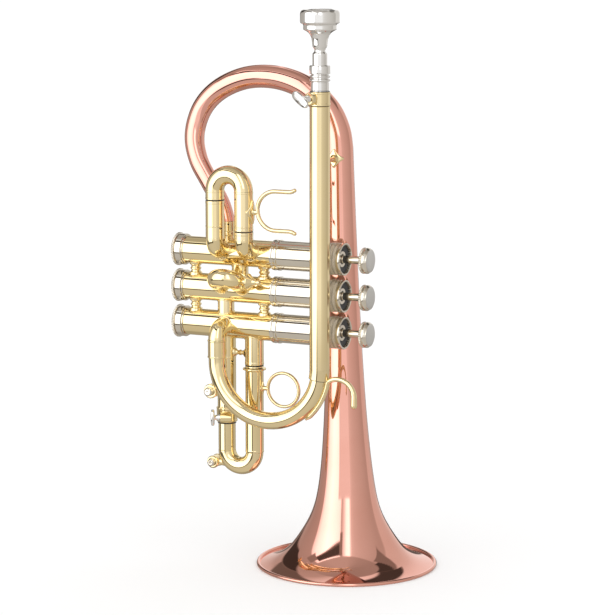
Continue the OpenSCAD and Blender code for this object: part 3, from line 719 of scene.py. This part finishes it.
# Radii and heights, up the outside and down the inside.
mouth_outline = [
    (4.7, 314), (4.95, 348.6), (4.97, 356.0), (4.6, 356.7), (3.9, 357.3), (3.7, 357.9),
    (3.7, 358.8), (4.05, 359.7), (4.7, 360.5), (5.0, 361.8), (5.25, 364.2), (5.6, 366.4),
    (6.4, 368.4), (7.4, 369.7), (8.8, 370.8), (10.2, 371.5), (10.9, 371.9), (11.1, 372.5),
    (11.1, 375.0), (11.4, 375.6), (12.0, 375.9), (12.8, 376.2), (RIM_R - 0.05, 376.9),
    (RIM_R, 377.8), (RIM_R, 382.2), (RIM_R - 0.2, 383.5), (12.3, 384.6), (11.4, 385.15),
    (10.4, mouth_high.z), (9.3, 385.0), (8.6, 384.3), (8.25, 383.1), (8.1, 380.8), (7.9, 378.0),
    (7.3, 375.4), (6.2, 372.9), (4.6, 370.5), (3.0, 368.8), (2.0, 367.0), (1.9, 364.0),
    (2.4, 340.0), (3.6, 314.2)]
stand_in("mouthpiece", Shape().lathe(soften(mouth_outline, 1.2, steps=3), on_lead(0), 160),
         sharp=50)

bow_route = arc(bow_mid, BOW_BEND, X, Z, 0, -180, 120)
bow_end = Vector((bow_left_x, lead.y, bow_z + 2))
stand_in("leadpipe_bow", Shape().sweep(bow_route + [bow_end], BOW_R, 5.2))

ELBOW_BEND = 8
elbow_z = valve_axis[3][1] - ELBOW_BEND
ferrules = Shape()
ferrule_end = -degrees(asin((bow_z - span("bow_ferrules")[0].z) / BOW_BEND)) * 0.88
ferrules.sweep(arc(bow_mid, BOW_BEND, X, Z, 0, ferrule_end, 12), LEAD_R, BOW_R + 0.02)
ferrule_h = elbow_z - bow_z - 2
ferrules.lathe(soften([
    (5.4, 0), (6.4, 0), (6.6, 0.3), (6.6, 0.9), (6.35, 1.2), (6.35, ferrule_h - 1.2),
    (6.6, ferrule_h - 0.9), (6.6, ferrule_h - 0.3), (6.4, ferrule_h), (5.4, ferrule_h)]),
    aim(bow_end, Z))
stand_in("bow_ferrules", ferrules)

ELBOW_R = 6.1
elbow_mid = Vector((bow_left_x, lead.y + ELBOW_BEND, elbow_z))
elbow = Shape().sweep(
    arc(elbow_mid, ELBOW_BEND, -Y, Z, 0, 90, 32)
    + [elbow_mid + ELBOW_BEND * Z + 2.8 * Y], ELBOW_R, 5.3)
weld(elbow, 3, bow_left_x, -Y, ELBOW_R)
stand_in("leadpipe_elbow", elbow)

hook_high = span("finger_hook")[1]
HOOK_R, HOOK_TIP_Z = 1.9, 121.5
ARCH_R = 11.9
arch_mid = Vector((hook_high.x - HOOK_R - ARCH_R, lead.y, hook_high.z - HOOK_R - ARCH_R))
strap = arc(bow_mid, BOW_BEND + BOW_R + 0.9, X, Z, -51.5, -12.2, 40)
over = arc(arch_mid, ARCH_R, X, Z, 136, 0, 60)
tip = Vector((arch_mid.x + ARCH_R, lead.y, HOOK_TIP_Z))
hook_path = (strap[:-3] + catmull([strap[-4], strap[-3], over[3], over[4]], 6)[1:-1] + over[3:]
             + straight(over[-1], tip, 6)[1:])


def hook_radius(t):
    """Thin where the strap begins, and a little fuller towards the fingertip."""
    return HOOK_R * min(1, 0.35 + 14 * t) * (0.92 + 0.26 * max(0, (t - 0.72) / 0.28) ** 1.5)


hook = Shape().sweep(hook_path, hook_radius, sides=32)
hook.ball(tip, HOOK_R * 1.18)
stand_in("finger_hook", hook)


def diamond(half_w, half_h):
    """A diamond outline with hollow sides and rounded corners."""
    corner, hollow, steps = 0.25, 0.16, 10
    tips = [Vector((half_w, 0)), Vector((0, half_h)), Vector((-half_w, 0)), Vector((0, -half_h))]
    out = []
    for a, b in zip(tips, tips[1:] + tips[:1]):
        for k in range(steps):
            t = corner / 4 + (1 - corner / 2) * k / (steps - 1)
            p = a.lerp(b, t)
            out.append(p * (1 - hollow * sin(pi * t)))
    return soften(out, 0.6)


def wrapped_plate(shape, at, facing, up, tube_r, outline, thick):
    """A thin plate bent round a tube; facing points from the tube's axis to its middle.

    Each step of its edge is (share of the way in, share of the thickness).
    """
    facing, up = Vector(facing).normalized(), Vector(up).normalized()
    side = up.cross(facing)
    rings = []
    for inset, lift in ((0, -0.15), (0, 0.55), (0.05, 0.8), (0.13, 0.95), (0.3, 1), (0.6, 1),
                        (0.97, 1)):
        ring = []
        for p in outline:
            q = Vector(p) * (1 - inset)
            a = q.x / tube_r
            r = tube_r + thick * lift
            ring.append(Vector(at) + r * (sin(a) * side + cos(a) * facing) + q.y * up)
        rings.append(ring)
    return shape.loft(rings)


brace = Shape()
brace_low, brace_high = span("bell_brace")
brace_z = (brace_low.z + brace_high.z) / 2
stem_at = Vector((stem_x(brace_z), 0, brace_z))
stem_r = bell_radius(brace_z)
wrapped_plate(brace, stem_at, -Y, Z, stem_r, diamond(7.4, 7.0), 1.1)
brace_from = Vector((lead.x, lead.y + LEAD_R - 0.2, brace_z))
brace_to = stem_at + Vector((0.6, -stem_r - 0.4, 0))
brace_length = (brace_to - brace_from).length
brace.lathe([(3.2, 0), (3.2, 0.6), (2.4, 1.4), (1.7, 2.2), (1.5, 3.4), (1.5, brace_length - 2.6),
             (1.9, brace_length - 1.6), (2.8, brace_length - 0.6), (3.1, brace_length)],
            aim(brace_from, brace_to - brace_from), 40, loop=False)
stand_in("bell_brace", brace)

posts = Shape()
post_low, post_high = span("casing_standoffs")
post_x = (post_low.x + post_high.x) / 2
for i in (1, 3):
    y, z = valve_axis[i]
    front = aim((post_x, lead.y + 2.2, z), Y)
    posts.lathe(soften([(0, 0), (2.5, 0), (2.2, 4), (2.2, 7), (2.6, 8.6), (0, 8.6)], 0.3, False),
                front, 40, loop=False)
    back = aim((post_x, y + 9.6, z), Y)
    posts.lathe(soften([(0, 0), (2.6, 0), (2.1, 2), (2.1, 3.5), (2.6, 5.2), (0, 5.2)], 0.3, False),
                back, 40, loop=False)
stand_in("casing_standoffs", posts)

# ---------- first slide ----------

fixed_low, fixed_high = span("slide1_fixed_legs")
moving_low, moving_high = span("slide1_legs")
SLEEVE_R = 6.5
slide1_left, slide1_right = fixed_low.x + SLEEVE_R, fixed_high.x - SLEEVE_R
slide1_foot = fixed_low.z
slide1_bow_z = moving_high.z
S1_ENTRY = radians(15)
entry = Vector((0, -cos(S1_ENTRY), sin(S1_ENTRY)))
elbows = Shape()
for x in (slide1_left, slide1_right):
    mid = Vector((x, lead.y + ELBOW_BEND, slide1_foot))
    bend = arc(mid, ELBOW_BEND, -Y, -Z, 0, 75, 32)
    elbows.sweep([mid - ELBOW_BEND * Y + 0.05 * Z, *bend, bend[-1] - entry * 3.2], 6.2, 5.3)
    weld(elbows, 1, x, entry, 6.2)
stand_in("slide1_elbows", elbows)


def sleeve(length, outer, inner, bands):
    """A plain tube with narrow raised bands; each band is (height, width)."""
    low_r, high_r, ramp = outer - 0.1, outer + 0.02, 0.15
    points = [(inner, 0), (low_r, 0)]
    for at, width in bands:
        points += [(low_r, at), (high_r, at + ramp), (high_r, at + width - ramp),
                   (low_r, at + width)]
    return soften(points + [(low_r, length), (inner, length)], 0.125)


def on_left1(z):
    """A place on the first slide's left tube, facing up."""
    return aim((slide1_left, lead.y, z), Z)


def on_right1(z):
    return aim((slide1_right, lead.y, z), Z)


# Where each tube parts when the slide is pulled, and the width of the gap there.
LEFT_GAP_Z, RIGHT_GAP_Z, GAP = 254.95, 234.35, 0.85
left_h, right_h = LEFT_GAP_Z - slide1_foot, RIGHT_GAP_Z - slide1_foot
legs = Shape()
legs.lathe(sleeve(left_h, SLEEVE_R, 5.75, ((0, 1.2), (8.6, 0.8), (left_h - 2.0, 2.0))),
           on_left1(slide1_foot))
legs.lathe(sleeve(right_h, SLEEVE_R, 5.0, ((0, 1.2), (3.9, 2.0))), on_right1(slide1_foot))
legs.lathe(pipe(5, 5.6, 28.3), on_right1(slide1_foot))
stand_in("slide1_fixed_legs", legs)

left_z, right_z = LEFT_GAP_Z + GAP, RIGHT_GAP_Z + GAP
left_h, right_h = slide1_bow_z - left_z, slide1_bow_z - right_z
moving = Shape()
moving.lathe(sleeve(left_h, SLEEVE_R, 5.0, ((0, 1.4), (left_h - 1.3, 1.3))), on_left1(left_z))
moving.lathe(pipe(5, 5.7, slide1_bow_z - moving_low.z), on_left1(moving_low.z))
moving.lathe(sleeve(right_h, SLEEVE_R, 5.65, ((0, 1.6), (2.6, 0.7), (right_h - 1.3, 1.3))),
             on_right1(right_z))
stand_in("slide1_legs", moving)

slide1_mid = Vector(((slide1_left + slide1_right) / 2, lead.y, slide1_bow_z))
stand_in("slide1_bow", Shape().sweep(
    arc(slide1_mid, (slide1_right - slide1_left) / 2, X, Z, 0, 180, 72), SLEEVE_R - 0.12, 5.4))

saddle_low, saddle_high = span("thumb_saddle")
SADDLE_WIRE, SADDLE_R, SADDLE_RUN = 1.45, 13.3, 10.0
SADDLE_X, SADDLE_LIFT = -34.1, 1.5
saddle_z = (saddle_low.z + saddle_high.z) / 2
saddle_mid = Vector((SADDLE_X, lead.y, saddle_z + SADDLE_LIFT))
FLICK_R, FLICK_A = 8, 32
lower_tip = saddle_mid + Vector((SADDLE_RUN, 0, -SADDLE_R - FLICK_R))
upper_tip = saddle_mid + Vector((SADDLE_RUN, 0, SADDLE_R + FLICK_R))
saddle_path = (arc(upper_tip, FLICK_R, -Z, X, FLICK_A, 0, 12)
               + arc(saddle_mid, SADDLE_R, X, Z, 90, 270, 90)
               + arc(lower_tip, FLICK_R, Z, X, 0, FLICK_A, 12))


def saddle_wire(t):
    """The wire thins a little at its very ends."""
    return SADDLE_WIRE * (1 if 0.02 < t < 0.98 else 0.85)


saddle = Shape().sweep(saddle_path, saddle_wire, sides=28)
for end in (saddle_path[0], saddle_path[-1]):
    saddle.ball(end, SADDLE_WIRE * 0.98, 24, 12)
neck = aim((slide1_right + SLEEVE_R - 0.2, lead.y, saddle_z), X, Z)
neck_length = saddle_mid.x - SADDLE_R - slide1_right - SLEEVE_R + 0.6
saddle.lathe([(3.0, 0), (2.6, 0.5), (2.0, 1.2), (1.7, neck_length - 0.8), (1.9, neck_length)],
             neck, 32, loop=False)
wrapped_plate(saddle, (slide1_right, lead.y, saddle_z), X, Z, SLEEVE_R, diamond(6.4, 9.0), 1.1)
stand_in("thumb_saddle", saddle)

# ---------- second slide ----------

S2_TILT = radians(25)
slide2_out = Vector((0, -cos(S2_TILT), sin(S2_TILT)))
sleeves_low, sleeves_high = span("slide2_sleeves")
slide2_left, slide2_right = sleeves_low.x + SLEEVE_R, sleeves_high.x - SLEEVE_R
S2_GAP, S2_BOW_AT, S2_R = 15, 16.8, 6.1


def from_valve2(x, reach):
    """A point this far out along the second slide's own direction."""
    y, z = valve_axis[2]
    return Vector((x, y, z)) + slide2_out * reach


sleeves, inners = Shape(), Shape()
for x in (slide2_left, slide2_right):
    sleeves.lathe(sleeve(7.4, SLEEVE_R, 5.75, ((5.6, 1.8),)), aim(from_valve2(x, 7.25), slide2_out))
    weld(sleeves, 2, x, slide2_out, 6.3, 0.45)
    inners.lathe(sleeve(S2_BOW_AT - S2_GAP, SLEEVE_R, 5.0, ((0, 1.8),)),
                 aim(from_valve2(x, S2_GAP), slide2_out))
    inners.lathe(pipe(5, 5.7, 6.8), aim(from_valve2(x, 10), slide2_out))
stand_in("slide2_sleeves", sleeves)
stand_in("slide2_legs", inners)
slide2_mid = from_valve2((slide2_left + slide2_right) / 2, S2_BOW_AT)
slide2_bend = (slide2_right - slide2_left) / 2
stand_in("slide2_bow", Shape().sweep(arc(slide2_mid, slide2_bend, X, slide2_out, 0, 180, 64),
                                     S2_R, 5.2, 56))
knob = Shape().lathe(soften([
    (0, 0.6), (2.6, 0.6), (2.0, 1.6), (1.8, 3.2), (5.4, 4.4), (5.8, 5.0), (5.8, 5.5), (5.2, 6.0),
    (2.6, 8.6), (1.9, 10.2), (1.5, 11.2), (2.0, 12.0), (2.05, 12.8), (1.5, 13.8), (0, 14.2)],
    0.5, False), aim(from_valve2(slide2_right + 4, S2_BOW_AT + 2.1), X), 64, loop=False)
stand_in("slide2_knob", knob)

# ---------- third slide ----------

valve3_y, valve3_z = valve_axis[3]
fixed_low, fixed_high = span("slide3_fixed_legs")
moving_low, moving_high = span("slide3_legs")
FIXED3_R = 6.55
slide3_left, slide3_right = fixed_low.x + FIXED3_R, fixed_high.x - FIXED3_R
slide3_bow_z = moving_low.z
top_z = valve3_z - 6.4
# Where the left fixed tube ends and where the right one parts.
LEFT_END_Z, RIGHT_GAP3_Z = 98.4, 139.7


def on_left3(z):
    """A place on the third slide's left tube, facing up."""
    return aim((slide3_left, valve3_y, z), Z)


def on_right3(z):
    return aim((slide3_right, valve3_y, z), Z)


left_h, right_h = top_z - LEFT_END_Z, top_z - RIGHT_GAP3_Z - 0.6
fixed3 = Shape()
fixed3.lathe(sleeve(left_h, FIXED3_R, 6.05, ((0, 1.8), (left_h - 17, 1.0))), on_left3(LEFT_END_Z))
fixed3.lathe(sleeve(right_h, FIXED3_R, 5.0, ((0, 2.0),)), on_right3(RIGHT_GAP3_Z + 0.6))
fixed3.lathe(pipe(5, 5.6, top_z - fixed_low.z), on_right3(fixed_low.z))
for x in (slide3_left, slide3_right):
    weld(fixed3, 3, x, -Z, 6.45)
stand_in("slide3_fixed_legs", fixed3)

brace3_low, brace3_high = span("slide3_brace")
brace3_z = (brace3_low.z + brace3_high.z) / 2
gap = slide3_right - slide3_left - 2 * FIXED3_R
half = [(3.3, -0.3), (3.0, 0.4), (2.1, 1.2), (1.5, 2.4)]
profile = half + [(1.5, gap / 2 - 0.9), (2.0, gap / 2 - 0.4), (2.0, gap / 2 + 0.4),
                  (1.5, gap / 2 + 0.9)] + [(r, gap - h) for r, h in reversed(half)]
stand_in("slide3_brace", Shape().lathe(
    profile, aim((slide3_left + FIXED3_R, valve3_y, brace3_z), X, Z), 48, loop=False))

clamp_low, clamp_high = span("slide3_collar")
clamp_h = clamp_high.z - clamp_low.z
screw3 = JOINTS["slide_3_screw_turn"]
screw3_at, screw3_axis = Vector(screw3["pos_m"]) / MM, Vector(screw3["axis"])
clamp = Shape().lathe(soften([
    (6.55, 0), (7.3, 0), (7.3, 1.2), (7.15, 1.5), (7.15, clamp_h - 1.5), (7.3, clamp_h - 1.2),
    (7.3, clamp_h), (6.55, clamp_h)]), on_left3(clamp_low.z))
clamp.lathe(soften([(1.95, -3.5), (3.1, -3.5), (3.4, -3.1), (3.4, 4.1), (3.1, 4.5), (1.95, 4.5)]),
            aim(screw3_at, screw3_axis), 48)
stand_in("slide3_collar", clamp)
stand_in("slide3_screw", thumbscrew(screw_place(screw3_at, screw3_axis), -2.8, 4.7, 8.4,
                                    5.7, 3.6, radians(90)))

slide3_mid = Vector(((slide3_left + slide3_right) / 2, valve3_y, slide3_bow_z))
slide3_bend = (slide3_right - slide3_left) / 2
stand_in("slide3_bow", Shape().sweep(arc(slide3_mid, slide3_bend, X, Z, 180, 360, 72), 6.1, 5.3))

LEG3_R, BEAD_Z = 6.3, 137.2
leg3 = Shape()
leg3.lathe(pipe(5.4, 6.0, moving_high.z - moving_low.z), on_left3(moving_low.z))
leg3_h = RIGHT_GAP3_Z - 0.35 - moving_low.z
bead_h = BEAD_Z - moving_low.z
leg3.lathe(soften([
    (5.65, 0), (LEG3_R + 0.1, 0), (LEG3_R + 0.1, 1.4), (LEG3_R, 1.7), (LEG3_R, bead_h - 1.3),
    (7.0, bead_h - 0.95), (8.0, bead_h - 0.5), (8.0, bead_h + 0.5), (7.0, bead_h + 0.95),
    (LEG3_R, bead_h + 1.3), (LEG3_R, leg3_h), (5.65, leg3_h)], 0.2), on_right3(moving_low.z))
stand_in("slide3_legs", leg3)

ring_low, ring_high = span("finger_ring")
RING_WIRE, RING_HALF_W = 1.1, 1.5
ring_z = (ring_low.z + ring_high.z) / 2
ring_r = (ring_high.z - ring_low.z) / 2 - RING_WIRE
ring_mid = Vector((ring_high.x - RING_WIRE - ring_r, valve3_y, ring_z))
ring = Shape()
ring.lathe([(ring_r + RING_WIRE * cos(a), RING_HALF_W * sin(a)) for a in full_turn(24)],
           aim(ring_mid, -Y, X), 128)
foot_length = ring_mid.x - ring_r - slide3_right - LEG3_R + 0.4
ring.lathe([(2.6, -0.2), (2.2, 0.4), (1.5, 1.1), (1.5, foot_length)],
           aim((slide3_right + LEG3_R, valve3_y, ring_z), X, Z), 32, loop=False)
wrapped_plate(ring, (slide3_right, valve3_y, ring_z), X, Z, LEG3_R, diamond(3.4, 5.0), 0.7)
stand_in("finger_ring", ring)

# ---------- black rings painted in as the shade of the joint gaps ---

# Thin rings in the black felt finish fill the narrow gaps at the slide joints, the collar, the
# leadpipe's top and the bow ferrule: painted shade, standing for the shadow down in those gaps.
shade_rings = Shape()
seam_a = radians(ferrule_end)
ferrule_seam = aim(bow_mid + BOW_BEND * Vector((cos(seam_a), 0, sin(seam_a))),
                   (sin(seam_a), 0, -cos(seam_a)))
for place, inside, outside, thick in (
        (on_left1(LEFT_GAP_Z), 5.73, 6.3, 0.8), (on_right1(RIGHT_GAP_Z), 5.5, 6.3, 0.8),
        (on_left3(LEFT_END_Z - 0.9), 6.03, 6.42, 0.9),
        (on_right3(RIGHT_GAP3_Z - 0.2), 5.5, 6.4, 0.8),
        (on_lead(collar_high.z - 0.5), 6.05, 6.6, 0.45),
        (on_lead(lead_high.z - 0.45), 6.05, 6.6, 0.45),
        (ferrule_seam, BOW_R - 0.1, LEAD_R + 0.02, 0.3)):
    shade_rings.lathe([(inside, 0), (outside, 0), (outside, thick), (inside, thick)], place)
# The rings are painted shade, not parts of the horn; they ride with the leadpipe's body.
make(shade_rings, "painted_shade_rings", body=BODY_OF["leadpipe"], finish="felt")

# ---------- water keys ----------


def water_key(which, barrel_r, plunger_r, boss_length, dimple):
    """A barrel with a push-in plunger, on a boss that leads to its bow."""
    wire_r, wire_room, turns, steps = 0.3, 0.35, 5, 20
    low, high = span("water_key_" + which)
    at = Vector((low.x + barrel_r, low.y, (low.z + high.z) / 2))
    length = high.y - low.y
    shape = Shape().lathe(soften([
        (plunger_r + 0.05, 0), (barrel_r - 0.5, 0), (barrel_r - 0.3, 0.4), (barrel_r, 0.9),
        (barrel_r, 2.2), (barrel_r - 0.35, 2.5), (barrel_r - 0.35, length - 2.2),
        (barrel_r, length - 1.9), (barrel_r, length - 0.6), (barrel_r - 0.6, length),
        (0, length), (0, 8), (plunger_r + 0.05, 8)]), aim(at, Y, Z), 64)
    shape.lathe([(3.2, 0), (2.7, 1.2), (2.7, 2.0), (3.2, boss_length)],
                aim(at + length / 2 * Y + (barrel_r - 0.6) * X, X, Z), 40, loop=False)
    stand_in("water_key_" + which, shape)
    low, high = span("water_plunger_" + which)
    reach = high.y - low.y
    stand_in("water_plunger_" + which, Shape().lathe(soften([
        (0, dimple), (0.7, dimple), (0.75, 0), (plunger_r - 0.9, 0), (plunger_r, 0.8),
        (plunger_r, reach), (0, reach)], 0.35, False), aim((at.x, low.y, at.z), Y, Z), 48,
        loop=False))
    low, high = span("water_spring_" + which)
    wire = coil(low.y + wire_room, high.y - low.y - 2 * wire_room, at.x, at.z,
                (high.z - low.z) / 2 - wire_room, turns, steps)
    path = [Vector((x, y, z)) for y, x, z in wire]
    stand_in("water_spring_" + which, Shape().sweep(path, wire_r, sides=8))


water_key("upper", 5, 3, 2.6, 0.1)
water_key("lower", 4.4, 2.6, 6.0, 0.9)

# ---------- floor, light and camera ----------

FLOOR = 30
floor_mesh = bpy.data.meshes.new("floor")
floor_mesh.from_pydata([(-FLOOR, -FLOOR, 0), (FLOOR, -FLOOR, 0), (FLOOR, FLOOR, 0),
                        (-FLOOR, FLOOR, 0)], [], [(0, 1, 2, 3)])
floor = add_object("floor", floor_mesh)
paper, _, paper_shader = new_material("floor_paper")
paper_shader.inputs["Base Color"].default_value = (0.92, 0.92, 0.92, 1)
paper_shader.inputs["Roughness"].default_value = 0.9
floor_mesh.materials.append(paper)
floor.visible_glossy = False
floor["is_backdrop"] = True

# A studio surround that only reflections see. Headings are degrees round the object from the
# camera, with plus towards the camera's right, and heights are degrees above level.
CAMERA_TURN = 25.14
DOME_RADIUS, DOME_CENTRE, DOME_STEP = 3.0, Vector((0, 0, 0.2)), 1.5
WALLS = [(-180, 1.05), (-172, 0.8), (-164, 0.5), (-130, 0.42), (-97, 0.5), (-94, 1.35),
         (-84, 1.9), (-60, 2.4), (-36, 2.1), (-26, 1.9), (-22, 1.7), (-19.5, 0.68), (-16, 0.8),
         (-10, 1.2), (-2, 2.1), (7, 2.3), (12, 1.2), (15, 0.88), (24, 0.75), (40, 0.67),
         (75, 0.56), (92, 0.5), (101, 0.5), (105, 0.7), (135, 0.69), (150, 0.76), (165, 0.95),
         (180, 1.1)]
CEILING = [(-180, 0.36), (-120, 0.46), (-60, 0.55), (0, 0.55), (40, 0.43), (90, 0.37),
           (180, 0.36)]
GROUND = [(-180, 0.36), (-112, 0.42), (-100, 0.6), (-40, 0.65), (0, 0.64), (40, 0.60),
          (100, 0.54), (135, 0.5), (180, 0.36)]
# Heights where the ceiling starts and the ground ends, which is higher between two headings.
CEILING_FOOT, GROUND_TOP_FRONT, GROUND_TOP_BACK = 58, -10.5, -26
FRONT_FROM, FRONT_TO = -112, 152
# Dark flags and bright cards before the walls: left and right heading, height of the foot at the
# left and right end, height of the top at the left and right end, and brightness.
CARDS = [(-33, 14, -30, -30, 5, 5, 1.02), (-108, -86, 40, 40, 52, 52, 0.30),
         (-22, -14, 40, 40, 57, 57, 0.30), (-86, -22, 46, 46, 56, 56, 0.08),
         (82, 146, 36, 41, 56, 48, 0.24), (96, 146, 54, 44, 60, 59, 0.06),
         (146, 177, 36, 34, 57, 46, 0.06), (-181, -156, 24, 20, 38, 42, 0.15),
         (-156, -127, -5, 20, 42, 42, 0.05), (-181, -130, -30, -30, -4, -1, 0.42),
         (-172, -150, -30, -30, -3, -3, 0.18), (158, 181, -30, -30, -2, -2, 0.12)]
# The same, below the front cards: a dark flag, with the foot of the big soft box in its middle.
LOW_CARDS = [(-108, -26, -23, -23, -10.5, -10.5, 0.13), (-88, -38, -16, -16, -9, -9, 2.0)]


def between(stops, at):
    """The value at a heading, on straight lines between the stops."""
    for (x0, y0), (x1, y1) in zip(stops, stops[1:]):
        if at <= x1:
            return y0 + (y1 - y0) * (at - x0) / (x1 - x0)
    return stops[-1][1]


def step_up(x, edge):
    """From 0 to 1 across a soft edge."""
    soft = 1.6
    t = min(1, max(0, (x - edge) / soft + 0.5))
    return t * t * (3 - 2 * t)


def put_cards(level, cards, heading, height):
    """The brightness once each card is laid over it in turn."""
    for left, right, foot_a, foot_b, top_a, top_b, glow in cards:
        along = min(1, max(0, (heading - left) / (right - left)))
        foot, top = foot_a + (foot_b - foot_a) * along, top_a + (top_b - top_a) * along
        inside = (step_up(heading, left) * step_up(-heading, -right)
                  * step_up(height, foot) * step_up(-height, -top))
        level += (glow - level) * inside
    return level


def light_level(heading, height):
    """The surround's brightness in one direction."""
    level = between(WALLS, heading)
    level += (between(CEILING, heading) - level) * step_up(height, CEILING_FOOT)
    level = put_cards(level, CARDS, heading, height)
    ground_top = GROUND_TOP_FRONT if FRONT_FROM < heading < FRONT_TO else GROUND_TOP_BACK
    level += (between(GROUND, heading) - level) * step_up(-height, -ground_top)
    return put_cards(level, LOW_CARDS, heading, height)


dome_rings, dome_columns = round(180 / DOME_STEP), round(360 / DOME_STEP)
dome_verts, dome_levels, dome_faces = [], [], []
for r in range(dome_rings + 1):
    height = -90 + DOME_STEP * r
    for c in range(dome_columns):
        heading = -180 + DOME_STEP * c
        bearing, rise = radians(heading + CAMERA_TURN - 90), radians(height)
        spot = Vector((cos(rise) * cos(bearing), cos(rise) * sin(bearing),
                       sin(rise)))
        dome_verts.append(DOME_CENTRE + DOME_RADIUS * spot)
        dome_levels.append(light_level(heading, height))
        if r < dome_rings:
            here, beside = r * dome_columns, (c + 1) % dome_columns
            dome_faces.append((here + c, here + beside, here + dome_columns + beside,
                               here + dome_columns + c))
dome_mesh = bpy.data.meshes.new("light_dome")
dome_mesh.from_pydata(dome_verts, [], dome_faces)
glow_layer = dome_mesh.color_attributes.new("glow", "FLOAT_COLOR", "POINT")
# The dimmer the surround, the warmer: more red and less blue.
WARM_BELOW, MORE_RED, LESS_BLUE = 1.1, 0.10, 0.13
for k, level in enumerate(dome_levels):
    warmth = max(0, min(1, WARM_BELOW - level))
    glow_layer.data[k].color = (level * (1 + MORE_RED * warmth), level,
                                level * (1 - LESS_BLUE * warmth), 1)
dome = add_object("light_dome", dome_mesh)
dome.visible_camera = False
dome.visible_diffuse = False
dome.visible_shadow = False
dome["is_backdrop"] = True
paint, tree, _ = new_material("light_dome_paint")
tree.nodes.clear()
painted = add_node(tree, "ShaderNodeVertexColor", layer_name="glow")
glow = tree.nodes.new("ShaderNodeEmission")
out = tree.nodes.new("ShaderNodeOutputMaterial")
link(tree, painted, "Color", glow, "Color")
link(tree, glow, "Emission", out, "Surface")
dome_mesh.materials.append(paint)

world = bpy.data.worlds.new("studio")
world.use_nodes = True
bpy.context.scene.world = world
background = world.node_tree.nodes["Background"]
background.inputs["Color"].default_value = (1, 1, 1, 1)
background.inputs["Strength"].default_value = 1.13

CAMERA_AT, CAMERA_TILT = (0.6970, -1.5494, 0.4541), 9.15
camera_data = bpy.data.cameras.new("camera")
camera_data.lens = 146.9
camera_data.sensor_width = 36
camera = add_object("camera", camera_data)
camera.location = CAMERA_AT
camera.rotation_euler = (radians(90 - CAMERA_TILT), 0, radians(CAMERA_TURN))
bpy.context.scene.camera = camera
bpy.context.scene.view_settings.view_transform = "Standard"

low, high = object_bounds()
